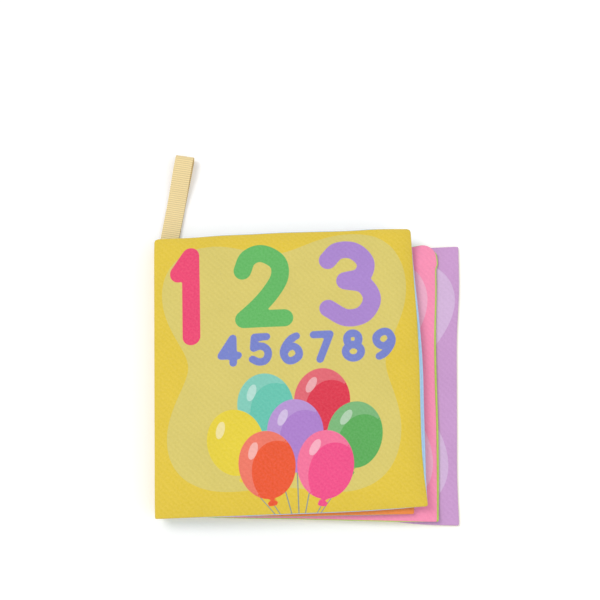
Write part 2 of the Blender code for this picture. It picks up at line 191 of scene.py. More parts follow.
# The ribbon loop, sewn into the back cover's top seam beside the spine.
RIBBON_WIDTH = 10.0 * MM
RIBBON_THICKNESS = 0.30 * MM
RIBBON_LOOP_LENGTH = 55.0 * MM
RIBBON_FROM_SPINE = 6.3 * MM
RIBBON_LEAN = math.radians(11.0)
RIBBON_LOWEST = 0.35 * MM
RIBBON_BIGHT_RADIUS = 3.0 * MM
RIBBON_SETTLE_LENGTH = 5.0 * MM
RIBBON_OPENS_AT_SHARE = 0.42
RIBBON_SEWN_IN = 3.0 * MM
RIBBON_TAILS_APART = 0.44 * MM
RIBBON_SLIT_FADE = 1.5 * MM
BIGHT_STEPS = 8
RETURN_STEPS = 6
RIB_PITCH = 1.2 * MM
RIB_HEIGHT = 0.05 * MM
RIB_WIDENS_SHARE = 0.008
SELVEDGE = 0.6 * MM

# Worked out from the sizes above.
LEAF_ROOT_X = SPINE_X + CLOTH_THICKNESS + ROOT_CLEARANCE
CORE_HALF = LEAF_THICKNESS / 2
ROOT_HALF = (ROOT_PITCH - ROOT_GAP) / 2
LEAF_PITCH = LEAF_THICKNESS + LEAF_GAP
WRAP_START = SPINE_X + SPINE_CORNER_RADIUS - LEAF_ROOT_X
WRAP_ARC = SPINE_CORNER_RADIUS * math.pi / 2
BACK_SPINE_TOP = 1.5 * ROOT_PITCH
FRONT_SPINE_BOTTOM = 2.5 * ROOT_PITCH
SPINE_STITCH_HEIGHT = 2 * ROOT_PITCH - SPINE_STITCH_BELOW_FOLD

# Cloth, thread, ribbon and filling colours, as sRGB hex.
YELLOW = "DFC23B"
PALE_YELLOW = "D6C66A"
LIGHT_BLUE = "A3C8EA"
ORANGE = "EE8A3E"
TEAL = "63C1AC"
PINK = "FA91B5"
LIME = "B2D052"
LAVENDER = "C99ACD"
CREAM = "EFD79C"
WADDING_WHITE = "EFEFEC"
FILM_SILVER = "D9DEE2"
WHITE = "FFFFFF"


def smoothstep(share):
    share = np.clip(share, 0.0, 1.0)
    return share * share * (3 - 2 * share)


def linear(hex_colour):
    """An sRGB hex colour as the linear values that a shader takes."""
    values = [int(hex_colour[place:place + 2], 16) / 255 for place in (0, 2, 4)]
    return (*(v / 12.92 if v <= 0.04045 else ((v + 0.055) / 1.055) ** 2.4 for v in values), 1.0)


def smooth_line(points, steps=6):
    """Points of a smooth curve through the given ones."""
    ends = [2 * np.array(points[0]) - np.array(points[1]), 2 * np.array(points[-1]) - np.array(points[-2])]
    knots = [ends[0]] + [np.array(point) for point in points] + [ends[1]]
    line = []
    for before, start, end, after in zip(knots, knots[1:], knots[2:], knots[3:]):
        for step in range(steps):
            t = step / steps
            line.append(
                0.5 * (2 * start + (end - before) * t + (2 * before - 5 * start + 4 * end - after) * t * t
                       + (3 * start - before - 3 * end + after) * t * t * t)
            )
    return line + [knots[-2]]


def stray(values, share):
    """How far an edge lies outside straight, at a share of its length."""
    line = np.array(smooth_line(list(zip(np.linspace(0.0, 1.0, len(values)), values))))
    return np.interp(share, line[:, 0], line[:, 1])


def spine_top_rise(up):
    """How far the ribbon's tails push a place beside the spine up."""
    return SPINE_TOP_RISE * (1 - smoothstep((LEAF_HEIGHT - up) / STRAY_FADE))


def round_spine_top(x, y):
    """Lowers what lies near the spine's outer face at its top end, so that the corner there is round."""
    inward = 1 - np.clip((x - SPINE_X) / SPINE_TOP_RADIUS, 0.0, 1.0)
    below_top = LEAF_HEIGHT / 2 + SPINE_TOP_RISE - y
    return y - SPINE_TOP_RADIUS * (1 - np.sqrt(1 - inward ** 2)) * (1 - smoothstep(below_top / STRAY_FADE))


class Leaf:
    """Where one leaf lies. out is the way along it from the root, and up the way from its lower edge."""

    def __init__(self, name):
        index = LEAF_ORDER.index(name)
        self.name = name
        self.reach = SPINE_X + LEAF_WIDTHS[name] - LEAF_ROOT_X
        self.sag = SAG_SHARES[name] * LEAF_HEIGHT
        self.lean = LEAN_SHARES[name] * LEAF_HEIGHT
        self.free_edge = FREE_EDGE_SHARES[name] * LEAF_HEIGHT
        self.root_middle = (index + 0.5) * ROOT_PITCH
        self.plateau_middle = CORE_HALF + index * LEAF_PITCH
        self.stuffed = name == "lower_leaf"
        self.body = "root" if name == "back_cover" else name

    def middle(self, out, up):
        """Height of the leaf's middle surface: low at the spine, then level, with edges that hang down."""
        rise = smoothstep(out / SPINE_RISE)
        droop = np.zeros_like(up)
        for distance in (self.reach - out, up, LEAF_HEIGHT - up):
            droop = np.maximum(droop, (1 - np.clip(distance / EDGE_ROLL, 0.0, 1.0)) ** 2)
        level = self.root_middle + (self.plateau_middle - self.root_middle) * rise
        return level - DROOPS[self.name] * droop * rise

    def stuffing(self, out, up):
        """How much of the stuffed corner's lift a place takes, from 0 to 1."""
        if not self.stuffed:
            return np.zeros_like(out)
        away = np.hypot(self.reach - STUFFED_ACROSS - out, LEAF_HEIGHT - STUFFED_DOWN - up)
        return 1 - smoothstep(away / STUFFED_REACH)

    def swell(self, along, depth, widest, fade):
        """How far the stuffed corner swells past an edge, from 0 to 1: along is the way from the corner."""
        if not self.stuffed:
            return np.zeros_like(along)
        grown = smoothstep(along / widest)
        stopped = smoothstep((along - widest) / fade)
        return grown * (1 - stopped) * (1 - smoothstep(depth / STUFFED_REACH))

    def padding(self, out, up):
        """Half the leaf's thickness over its rim, which falls to nothing at the sewn edges."""
        core = ROOT_HALF + (CORE_HALF - ROOT_HALF) * smoothstep(out / SPINE_RISE)
        roll = 1.0
        for distance in (self.reach - out, up, LEAF_HEIGHT - up):
            inward = 1 - np.clip(distance / EDGE_ROLL, 0.0, 1.0)
            roll = roll * (1 - inward * inward)
        return (core - RIM_HALF) * roll + STUFFED_LIFT * self.stuffing(out, up) * roll

    def half_room(self, out, up):
        """Half the height that is free between the inner faces of the two cloths."""
        return self.padding(out, up) + RIM_HALF - CLOTH_THICKNESS

    def slit(self, out, up):
        """Half of how far the ribbon's two tails hold the back cover's top seam open."""
        if self.name != "back_cover":
            return np.zeros_like(out)
        beside = np.abs(LEAF_ROOT_X + out - SPINE_X - RIBBON_FROM_SPINE) - RIBBON_WIDTH / 2
        deeper = LEAF_HEIGHT - up - RIBBON_SEWN_IN
        share = (1 - smoothstep(beside / RIBBON_SLIT_FADE)) * (1 - smoothstep(deeper / RIBBON_SEWN_IN))
        return share * ((RIBBON_TAILS_APART + RIBBON_THICKNESS) / 2 + RIB_HEIGHT)

    def side_peek(self, up):
        """How far the cloth behind shows past the free edge: least at the corners, most below the middle."""
        up_share = up / LEAF_HEIGHT
        low_share, top_share = LOW_PEEK_SHARES[self.name], TOP_PEEK_SHARES[self.name]
        below = low_share + (1 - low_share) * smoothstep(up_share / PEEK_STARTS_SHARE)
        above = top_share + (1 - top_share) * smoothstep((1 - up_share) / PEEK_THINS_SHARE)
        return SIDE_PEEKS[self.name] * below * above * smoothstep((1 - up_share) / PEEK_ENDS_SHARE)

    def end_peek(self, out):
        """How far the cloth behind shows past the lower and upper edges."""
        ends = smoothstep(out / (2 * SPINE_RISE)) * smoothstep((self.reach - out) / SPINE_RISE)
        return END_PEEKS[self.name] * ends

    def plan(self, out, up):
        """Where a place lies in plan, with the free corners rounded."""
        from_free = self.reach - out
        from_end = np.minimum(up, LEAF_HEIGHT - up)
        radius = np.where(up > LEAF_HEIGHT / 2, TOP_CORNER_RADII[self.name], CORNER_RADIUS)
        p = np.clip(1 - from_free / radius, 0.0, 1.0)
        q = np.clip(1 - from_end / radius, 0.0, 1.0)
        corner = (p > 0) & (q > 0)
        from_free = np.where(corner, radius * (1 - p * np.sqrt(1 - q * q / 2)), from_free)
        from_end = np.where(corner, radius * (1 - q * np.sqrt(1 - p * p / 2)), from_end)
        out = self.reach - from_free
        up = np.where(up > LEAF_HEIGHT / 2, LEAF_HEIGHT - from_end, from_end)
        a = out / self.reach
        b = up / LEAF_HEIGHT
        from_free, from_top = self.reach - out, LEAF_HEIGHT - up
        x = LEAF_ROOT_X + a * (self.reach + self.lean * b)
        x = x + stray(FREE_STRAYS[self.name], b) * (1 - smoothstep(from_free / STRAY_FADE))
        x = x + STUFFED_BULGE * self.swell(from_top, from_free, STUFFED_DOWN, STUFFED_DOWN_FADE)
        y = (1 - a) * up + a * (b * self.free_edge - self.sag) - LEAF_HEIGHT / 2
        y = y - stray(LOWER_STRAYS[self.name], a) * (1 - smoothstep(up / STRAY_FADE))
        y = y + stray(UPPER_STRAYS[self.name], a) * (1 - smoothstep(from_top / STRAY_FADE))
        y = y + STUFFED_RISE * self.swell(from_free, from_top, STUFFED_ACROSS, STUFFED_ACROSS_FADE)
        return x, y + spine_top_rise(up) * (1 - smoothstep(out / SPINE_RISE))


def ripples(x, y, seed, count, shortest, longest):
    """A smooth, uneven surface from -1 to 1: many long waves in all directions, laid over each other."""
    random = np.random.default_rng(seed)
    total = np.zeros_like(x)
    for _ in range(count):
        length = random.uniform(shortest, longest)
        turn = random.uniform(0, math.pi)
        phase = random.uniform(0, 2 * math.pi)
        total += np.sin(2 * math.pi * (x * math.cos(turn) + y * math.sin(turn)) / length + phase)
    return total / count


def lip(distance):
    """The rounded edge of a cloth that turns in: its height at a distance from the edge."""
    return RIM_HALF * np.sqrt(1 - (1 - np.clip(distance / RIM_HALF, 0.0, 1.0)) ** 2)


class Cloth:
    """One printed cloth of a leaf, as two layers of places over one grid. side is 1 in front, -1 behind."""

    def __init__(self, leaf, side, spine_end=None):
        self.leaf = leaf
        self.side = side
        self.spine_end = spine_end

    def on_leaf(self, out, up, inner):
        """The place and the depth below the outer face. Beyond the edges the cloth turns in as a hem."""
        leaf = self.leaf
        edge = np.minimum(leaf.reach - out, np.minimum(up, LEAF_HEIGHT - up))
        turned = np.clip(-edge, 0.0, None)
        out = np.where(turned > 0, out * (leaf.reach - turned) / (leaf.reach + turned), out)
        shorter = (LEAF_HEIGHT - 2 * turned) / (LEAF_HEIGHT + 2 * turned)
        up = np.where(turned > 0, turned + (up + turned) * shorter, up)
        distances = [leaf.reach - out, up, LEAF_HEIGHT - up]
        if inner:
            within = 3 * CLOTH_THICKNESS
            distances = [d + CLOTH_THICKNESS * (1 - np.clip(d / within, 0.0, 1.0)) for d in distances]
            out = leaf.reach - distances[0]
            up = np.where(up < LEAF_HEIGHT / 2, distances[1], LEAF_HEIGHT - distances[2])
        distance = np.minimum(np.minimum(distances[0], distances[1]), distances[2])
        face = np.maximum(lip(distance), SEAM_HALF_GAP) + leaf.padding(out, up)
        inside = np.maximum(face - CLOTH_THICKNESS, SEAM_HALF_GAP)
        hem = SEAM_HALF_GAP - self.bead(out, up, distance)
        hem_inside = np.minimum(hem + HEM_THICKNESS, inside - SEAM_HALF_GAP)
        creased = self.creases(out, up, distance)
        if inner:
            height = np.where(turned > 0, hem_inside, inside + creased)
        else:
            height = np.where(turned > 0, hem, face + creased)
        slit = leaf.slit(out, up)
        return out, up, face + slit, height + slit

    def creases(self, out, up, distance):
        """How far the cloth creases out of its even face, which is little where it meets its neighbours."""
        if self.leaf.name not in CREASES:
            return np.zeros_like(out)
        surface = CREASES[self.leaf.name][0 if self.side > 0 else 1]
        height = sampled(surface, out / self.leaf.reach, up / LEAF_HEIGHT)
        if self.leaf.name == "front_cover" and self.side > 0:
            height = COVER_CREASE_LIFT + COVER_CREASE_SHARE * height
            room = np.where(height > 0, COVER_CREASE_ROOM, CREASE_ROOM)
        else:
            height = CREASE_SHARE * height
            room = CREASE_ROOM
        height = room * np.tanh(height / room)
        if self.leaf.name == "back_cover" and self.side < 0:
            height = (height - CREASE_ROOM) / 2
        return height * smoothstep(distance / CREASE_FADE) * smoothstep(out / CREASE_FADE)

    def bead(self, out, up, distance):
        """How high the cloth behind stands over the seam, where it rolls over to the front."""
        if self.side > 0:
            return np.zeros_like(out)
        size = RIM_HALF * np.clip(self.peek(out, up) / FULL_BEAD_PEEK, 0.0, 1.0)
        return size * np.sqrt(np.clip(1 - (distance / RIM_HALF - 1) ** 2, 0.0, 1.0))

    def peek(self, out, up):
        from_end = np.minimum(up, LEAF_HEIGHT - up)
        at_side = self.leaf.reach - out < from_end
        return np.where(at_side, self.leaf.side_peek(up), self.leaf.end_peek(out))

    def places(self, out, up, inner):
        """World places of one layer."""
        leaf = self.leaf
        along = out
        nearest = WRAP_START if self.spine_end else 0.0
        out, up, face, height = self.on_leaf(np.maximum(out, nearest), up, inner)
        x, y = leaf.plan(out, up)
        if self.side < 0:
            from_end = np.minimum(up, LEAF_HEIGHT - up)
            x = x + leaf.side_peek(up) * (1 - smoothstep((leaf.reach - out) / PEEK_FADE))
            end_peek = leaf.end_peek(out) * (1 - smoothstep(from_end / PEEK_FADE))
            y = y + np.sign(up - LEAF_HEIGHT / 2) * end_peek
        z = leaf.middle(out, up) + self.side * height
        if self.spine_end is not None:
            x, z = self.round_the_spine(along, up, face, height, x, z)
            y = y + self.foot_rise(along) * (1 - smoothstep(up / STRAY_FADE))
        return np.stack([x, round_spine_top(x, y), z], axis=1)

    def round_the_spine(self, along, up, face, height, x, z):
        """Takes the part before the leaf's root round the corner and along the back of the spine."""
        past = np.clip(WRAP_START - along, 0.0, None)
        depth = np.minimum(face - height, CLOTH_THICKNESS + HEM_THICKNESS / 2)
        bend = SPINE_CORNER_RADIUS - depth
        turn = np.minimum(past / SPINE_CORNER_RADIUS, math.pi / 2)
        middle = self.leaf.middle(np.full_like(up, WRAP_START), up)
        centre_z = middle + self.side * (face - SPINE_CORNER_RADIUS)
        run = np.clip(past - WRAP_ARC, 0.0, None) / self.run_length()
        round_x = SPINE_X + SPINE_CORNER_RADIUS - bend * np.sin(turn)
        round_z = centre_z + self.side * bend * np.cos(turn)
        round_z = np.where(run > 0, centre_z + (self.spine_end - centre_z) * run, round_z)
        return np.where(past > 0, round_x, x), np.where(past > 0, round_z, z)

    def foot_rise(self, along):
        """How far the front cover's cloth draws in at its foot, on its way down the spine."""
        if self.side < 0:
            return np.zeros_like(along)
        down_share = (WRAP_START - along) / (WRAP_ARC + self.run_length())
        return SPINE_FOOT_RISE * np.clip(down_share, 0.0, 1.0)

    def run_length(self):
        """Length of the straight part on the back of the spine."""
        corner = self.leaf.root_middle + self.side * (ROOT_HALF - SPINE_CORNER_RADIUS)
        return abs(self.spine_end - corner)


def spaced(low, high, pitch):
    """Evenly spaced values from low to high, about a pitch apart."""
    return list(np.linspace(low, high, max(round((high - low) / pitch), 1) + 1))


def inset_lines(leaf, root_inset, edge_inset, pitch):
    """Grid lines along a leaf and up it, for what stops short of its root and its sewn edges."""
    out_lines = np.array(spaced(root_inset, leaf.reach - edge_inset, pitch))
    return out_lines, np.array(spaced(edge_inset, LEAF_HEIGHT - edge_inset, pitch))


def edge_lines():
    """Distances from a sewn edge at which the grid has lines. They are below zero on the turned hem."""
    face = [RIM_HALF * (1 - math.cos(math.pi / 2 * step / LIP_STEPS)) for step in range(LIP_STEPS + 1)]
    bead = [RIM_HALF * (1 - math.cos(math.pi * step / BEAD_STEPS)) for step in range(1, BEAD_STEPS + 1)]
    hem = spaced(2 * RIM_HALF, SEAM_ALLOWANCE, GRID_PITCH)[1:]
    return [-distance for distance in reversed(bead + hem)] + face


def cloth_lines(cloth):
    """The grid lines of a cloth, along the leaf and up it."""
    edge = edge_lines()
    reach = cloth.leaf.reach
    start = 0.0
    wrap = []
    if cloth.spine_end is not None:
        start = WRAP_START
        arc = spaced(0.0, WRAP_ARC, WRAP_ARC / 6)
        run = spaced(WRAP_ARC, WRAP_ARC + cloth.run_length(), GRID_PITCH / 4)[1:]
        wrap = [start - distance for distance in reversed(arc[1:] + run)]
    face = spaced(start, reach - edge[-1], GRID_PITCH)[:-1]
    out_lines = wrap + face + [reach - distance for distance in reversed(edge)]
    middle = spaced(edge[-1], LEAF_HEIGHT - edge[-1], GRID_PITCH)[1:-1]
    up_lines = edge + middle + [LEAF_HEIGHT - distance for distance in reversed(edge)]
    return np.array(out_lines), np.array(up_lines)


SHARP_ANGLE = math.radians(55)


def finished(mesh, data):
    """Turns a closed shape's faces outwards and keeps it as a smooth mesh with sharp edges."""
    bmesh.ops.recalc_face_normals(mesh, faces=mesh.faces[:])
    mesh.to_mesh(data)
    mesh.free()
    data.shade_smooth()
    data.set_sharp_from_angle(angle=SHARP_ANGLE)
    return data


def two_layers(name, first_lines, second_lines, outer, inner):
    """A closed thin piece: one grid, copied and joined round its rim, each layer placed by a function."""
    mesh = bmesh.new()
    columns, rows = len(first_lines) - 1, len(second_lines) - 1
    bmesh.ops.create_grid(mesh, x_segments=columns, y_segments=rows, size=0.5)
    count = len(mesh.verts)
    bmesh.ops.extrude_face_region(mesh, geom=mesh.faces[:], use_keep_orig=True)
    corners = np.array([vert.co for vert in mesh.verts])
    first = first_lines[np.rint((corners[:, 0] + 0.5) * columns).astype(int)]
    second = second_lines[np.rint((corners[:, 1] + 0.5) * rows).astype(int)]
    places = np.concatenate([outer(first[:count], second[:count]), inner(first[count:], second[count:])])
    for vert, place in zip(mesh.verts, places):
        vert.co = place
    return finished(mesh, bpy.data.meshes.new(name)), first, second


def add_piece(data):
    obj = bpy.data.objects.new(data.name, data)
    bpy.context.scene.collection.objects.link(obj)
    return obj


def dress(data, material, carried_by, stands_for):
    """Puts a finished piece in the place of solids. One body carries it, or, when two are given, it stays
    where it is made.
    """
    data.materials.append(material)
    obj = add_piece(data)
    if isinstance(carried_by, str):
        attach(obj, carried_by)
    else:
        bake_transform(obj)
    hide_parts(*stands_for)
    return obj


# Each leaf's flat case is inflated as cloth, held where it is sewn to the spine. The creases that this draws
# in from its seams and corners are laid over the leaf's own faces, lower than they came. The front cover's
# outer cloth keeps more of them, and is lifted a little all over.
CASE_PITCH = 2.8 * MM
CASE_HALF = 0.6 * MM
CASE_PRESSURE = 4.0
CASE_STIFFNESS = 40.0
CASE_MASS = 0.15
CASE_SHEAR_SHARE = 1 / 3
CASE_QUALITY = 6
CASE_FRAMES = 20
CREASE_SHARE = 0.30
CREASE_ROOM = 0.12 * MM
COVER_CREASE_SHARE = 0.80
COVER_CREASE_ROOM = 1.2 * MM
COVER_CREASE_LIFT = 0.30 * MM
CREASE_FADE = 3.0 * MM
EVENING_STEPS = 30
EVENING_BLEND_SHARE = 0.1
CREASES = {}


def new_case(leaf):
    """A leaf's flat case as cloth, and where each of its vertices lies on the flat."""

    def face(side):
        return lambda out, up: np.stack([out, up, np.full_like(out, side * CASE_HALF)], axis=1)

    out_lines, up_lines = inset_lines(leaf, 0.0, 0.0, CASE_PITCH)
    data, out, up = two_layers(leaf.name + "_case", out_lines, up_lines, face(1), face(-1))
    obj = add_piece(data)
    held = obj.vertex_groups.new(name="sewn_to_the_spine")
    held.add([int(index) for index in np.flatnonzero(out == 0)], 1.0, "REPLACE")
    cloth = obj.modifiers.new("inflated", "CLOTH")
    cloth.settings.quality = CASE_QUALITY
    cloth.settings.mass = CASE_MASS
    cloth.settings.tension_stiffness = CASE_STIFFNESS
    cloth.settings.compression_stiffness = CASE_STIFFNESS
    cloth.settings.shear_stiffness = CASE_STIFFNESS * CASE_SHEAR_SHARE
    cloth.settings.use_pressure = True
    cloth.settings.uniform_pressure_force = CASE_PRESSURE
    cloth.settings.vertex_group_mass = held.name
    cloth.settings.effector_weights.gravity = 0.0
    cloth.point_cache.frame_end = CASE_FRAMES
    columns = np.searchsorted(out_lines, out - CASE_HALF)
    rows = np.searchsorted(up_lines, up - CASE_HALF)
    return obj, columns, rows


def evened(surface, axis):
    """A grid of heights, with what changes along one axis smoothed away."""
    surface = np.moveaxis(surface, axis, 0)
    for _ in range(EVENING_STEPS):
        wide = np.concatenate([surface[:1], surface, surface[-1:]])
        surface = (wide[:-2] + 2 * wide[1:-1] + wide[2:]) / 4
    return np.moveaxis(surface, 0, axis)


def crease_heights(heights, columns, rows):
    """How high a face creases over its even shape, which runs along the nearest edge."""
    surface = np.zeros((columns.max() + 1, rows.max() + 1))
    surface[columns, rows] = heights
    across, up = np.meshgrid(*(np.linspace(-1.0, 1.0, count) for count in surface.shape), indexing="ij")
    by_side = np.clip((np.abs(across) - np.abs(up)) / EVENING_BLEND_SHARE + 0.5, 0.0, 1.0)
    return surface - evened(surface, 1) * by_side - evened(surface, 0) * (1 - by_side)


def inflate_cases():
    cases = {name: new_case(Leaf(name)) for name in LEAF_ORDER}
    for frame_number in range(1, CASE_FRAMES + 1):
        bpy.context.scene.frame_set(frame_number)
    graph = bpy.context.evaluated_depsgraph_get()
    for name, (obj, columns, rows) in cases.items():
        heights = np.array([vert.co.z for vert in obj.evaluated_get(graph).data.vertices])
        half = len(heights) // 2
        CREASES[name] = (
            crease_heights(heights[:half], columns[:half], rows[:half]),
            crease_heights(-heights[half:], columns[half:], rows[half:]),
        )
        bpy.data.objects.remove(obj)
    bpy.context.scene.frame_set(1)


def sampled(surface, across_share, up_share):
    """A smooth reading of a grid of heights, at shares of its two lengths."""
    last_column, last_row = surface.shape[0] - 1, surface.shape[1] - 1
    across, up = np.clip(across_share, 0.0, 1.0) * last_column, np.clip(up_share, 0.0, 1.0) * last_row
    column, row = np.floor(across).astype(int), np.floor(up).astype(int)

    def weights(t):
        before, at = (1 - t) ** 3, 3 * t ** 3 - 6 * t ** 2 + 4
        return before / 6, at / 6, (1 + 3 * t + 3 * t ** 2 - 3 * t ** 3) / 6, t ** 3 / 6

    total = np.zeros_like(across)
    for column_step, column_weight in enumerate(weights(across - column), -1):
        for row_step, row_weight in enumerate(weights(up - row), -1):
            columns = np.clip(column + column_step, 0, last_column)
            rows = np.clip(row + row_step, 0, last_row)
            total += column_weight * row_weight * surface[columns, rows]
    return total


def store(data, name, values):
    """Keeps one number for each vertex, for a material to read."""
    data.attributes.new(name, "FLOAT", "POINT").data.foreach_set("value", values.astype(np.float32))


def store_flat_place(data, along, up):
    """Keeps where each vertex lay on the flat cloth, so that print and weave follow the cloth."""
    flat = np.stack([along, up, np.zeros_like(along)], axis=1).astype(np.float32)
    data.attributes.new("flat_place", "FLOAT_VECTOR", "POINT").data.foreach_set("vector", flat.ravel())


# Print. Every motif is a distance from its outline, below zero inside, worked out on the flat cloth.
LEAST_RUN = 0.001 * MM
LEAST_SLOPE_SHARE = 0.01
PETAL_SLOPE_SHARE = 0.8


def stroke(x, y, line, half_width):
    nearest = np.full(x.shape, np.inf)
    for start, end in zip(line, line[1:]):
        dx, dy = end[0] - start[0], end[1] - start[1]
        run = max(dx * dx + dy * dy, LEAST_RUN ** 2)
        share = np.clip(((x - start[0]) * dx + (y - start[1]) * dy) / run, 0.0, 1.0)
        nearest = np.minimum(nearest, np.hypot(x - start[0] - share * dx, y - start[1] - share * dy))
    return nearest - half_width


def oval(x, y, centre, radii, tilt=0.0):
    dx, dy = x - centre[0], y - centre[1]
    along = dx * math.cos(tilt) + dy * math.sin(tilt)
    across = dy * math.cos(tilt) - dx * math.sin(tilt)
    ring = np.hypot(along / radii[0], across / radii[1])
    slope = np.hypot(along / radii[0] ** 2, across / radii[1] ** 2)
    return ring * (ring - 1) / np.maximum(slope, LEAST_SLOPE_SHARE / max(radii))


def loop(centre, radii, steps=24):
    turns = [2 * math.pi * step / steps for step in range(steps + 1)]
    return [(centre[0] + radii[0] * math.cos(turn), centre[1] + radii[1] * math.sin(turn)) for turn in turns]


SIX_SHARES = [(0.80, 0.98), (0.48, 0.86), (0.16, 0.56), (0.07, 0.28), (0.26, 0.03), (0.56, 0.0), (0.90, 0.17),
              (0.88, 0.42), (0.62, 0.57), (0.32, 0.52), (0.10, 0.33)]

# Plain rounded numerals: the strokes of each, as shares of its width and height.
NUMERAL_SHARES = {
    1: [[(0.22, 0.80), (0.52, 1.0)], [(0.52, 1.0), (0.52, 0.0)]],
    2: [smooth_line([(0.05, 0.76), (0.18, 0.95), (0.48, 1.02), (0.83, 0.88), (0.88, 0.66), (0.68, 0.42),
                     (0.36, 0.18), (0.06, 0.0)]), [(0.06, 0.0), (0.95, 0.0)]],
    3: [smooth_line([(0.08, 0.85), (0.30, 0.99), (0.62, 0.98), (0.86, 0.80), (0.76, 0.60), (0.42, 0.54)]),
        smooth_line([(0.42, 0.54), (0.80, 0.47), (0.95, 0.25), (0.76, 0.03), (0.40, -0.01), (0.05, 0.14)])],
    4: [[(0.70, 0.0), (0.70, 1.0), (0.05, 0.30), (0.98, 0.30)]],
    5: [[(0.86, 1.0), (0.20, 1.0), (0.14, 0.56)],
        smooth_line([(0.14, 0.56), (0.46, 0.64), (0.82, 0.53), (0.93, 0.30), (0.76, 0.05), (0.40, 0.0),
                     (0.06, 0.12)])],
    6: [smooth_line(SIX_SHARES)],
    7: [[(0.05, 1.0), (0.95, 1.0), (0.36, 0.0)]],
    8: [loop((0.5, 0.76), (0.33, 0.24)), loop((0.5, 0.26), (0.43, 0.27))],
    9: [smooth_line([(1 - across, 1 - up) for across, up in SIX_SHARES])],
}


def numeral(x, y, number, corner, size, stroke_width):
    distance = np.full(x.shape, np.inf)
    for line in NUMERAL_SHARES[number]:
        placed = [(corner[0] + point[0] * size[0], corner[1] + point[1] * size[1]) for point in line]
        distance = np.minimum(distance, stroke(x, y, placed, stroke_width / 2))
    return distance


def wavy_patch(x, y, centre, radii, waves):
    """A soft round patch. Each wave is its count round the patch, its size as a share, and its start."""
    turn = np.arctan2((y - centre[1]) / radii[1], (x - centre[0]) / radii[0])
    edge = 1.0
    for count, size_share, start in waves:
        edge = edge + size_share * np.cos(count * turn + start)
    ring = np.hypot((x - centre[0]) / radii[0], (y - centre[1]) / radii[1])
    return (ring - edge) * min(radii)


def petals(x, y, centre, radius, count, depth_share, turned=0.0):
    """A star or a flower: a disc whose edge swings in and out."""
    turn = np.arctan2(y - centre[1], x - centre[0])
    edge = radius * (1 + depth_share * np.cos(count * (turn - turned)))
    return (np.hypot(x - centre[0], y - centre[1]) - edge) * PETAL_SLOPE_SHARE


# A heart is two slanting ovals: how far apart their middles lie, and their radii, as shares of its size.
HEART_SPREAD_SHARE = 0.24
HEART_RADII_SHARES = (0.32, 0.56)
HEART_TILT = 0.70


def heart(x, y, centre, size):
    radii = [share * size for share in HEART_RADII_SHARES]
    lobes = [oval(x, y, (centre[0] + lean * HEART_SPREAD_SHARE * size, centre[1]), radii, -lean * HEART_TILT)
             for lean in (-1, 1)]
    return np.minimum(*lobes)


BALLOON_RADII = (14.6 * MM, 17.2 * MM)
BALLOON_LINES_MEET = (73 * MM, -14 * MM)
STRING_WIDTH = 0.55 * MM
STRING_THINS_BY = 60

# Parts of a balloon, in shares of its radii across it and down it: the ends and half widths of its knot and
# its neck, where its string starts, the oval that the light band lies outside of, and the glint.
KNOT_SHARES = ((-0.09, 1.13), (0.09, 1.13))
KNOT_HALF_SHARE = 0.085
NECK_SHARES = ((0.0, 0.95), (0.0, 1.08))
NECK_HALF_SHARE = 0.06
STRING_START_SHARES = (0.0, 1.13)
UNLIT_MIDDLE_SHARES = (0.34, 0.30)
UNLIT_RADII_SHARES = (0.92, 0.95)
GLINT_MIDDLE_SHARES = (-0.42, -0.46)
GLINT_RADII_SHARES = (0.15, 0.27)
GLINT_TILT = -0.45

# The balloons of the front cover, from the one behind to the one in front: ink, middle and tilt in degrees.
BALLOONS = (
    ("teal_balloon", (57.5 * MM, 55.0 * MM), 7),
    ("red_balloon", (87.0 * MM, 56.5 * MM), -6),
    ("yellow_balloon", (41.5 * MM, 36.5 * MM), 12),
    ("green_balloon", (103.5 * MM, 38.0 * MM), -12),
    ("purple_balloon", (72.5 * MM, 40.5 * MM), 1),
    ("orange_balloon", (57.5 * MM, 24.5 * MM), 7),
    ("pink_balloon", (87.5 * MM, 23.5 * MM), -7),
)

# Large numerals have strokes of one width. Those of the front cover: ink, number, lower left corner, size.
LARGE_STROKE_WIDTH = 9.5 * MM
COVER_NUMERALS = (
    ("red_pink", 1, (8 * MM, 94 * MM), (22 * MM, 44 * MM)),
    ("green", 2, (46 * MM, 102 * MM), (24 * MM, 35 * MM)),
    ("purple", 3, (91 * MM, 101 * MM), (26 * MM, 37 * MM)),
)

# The rows of small numerals on the two covers. The back cover's starts at a way from its middle.
COVER_ROW_NUMBERS = (4, 5, 6, 7, 8, 9)
COVER_ROW_CORNER = (34.5 * MM, 78.5 * MM)
COVER_ROW_PITCH = 16.3 * MM
COVER_ROW_SIZE = (9.6 * MM, 13.5 * MM)
COVER_ROW_STROKE_WIDTH = 4.0 * MM
BACK_ROW_NUMBERS = (1, 2, 3)
BACK_ROW_BEFORE_MIDDLE = 34 * MM
BACK_ROW_UP = 66 * MM
BACK_ROW_PITCH = 26 * MM
BACK_ROW_SIZE = (16 * MM, 22 * MM)
BACK_ROW_STROKE_WIDTH = 5.5 * MM

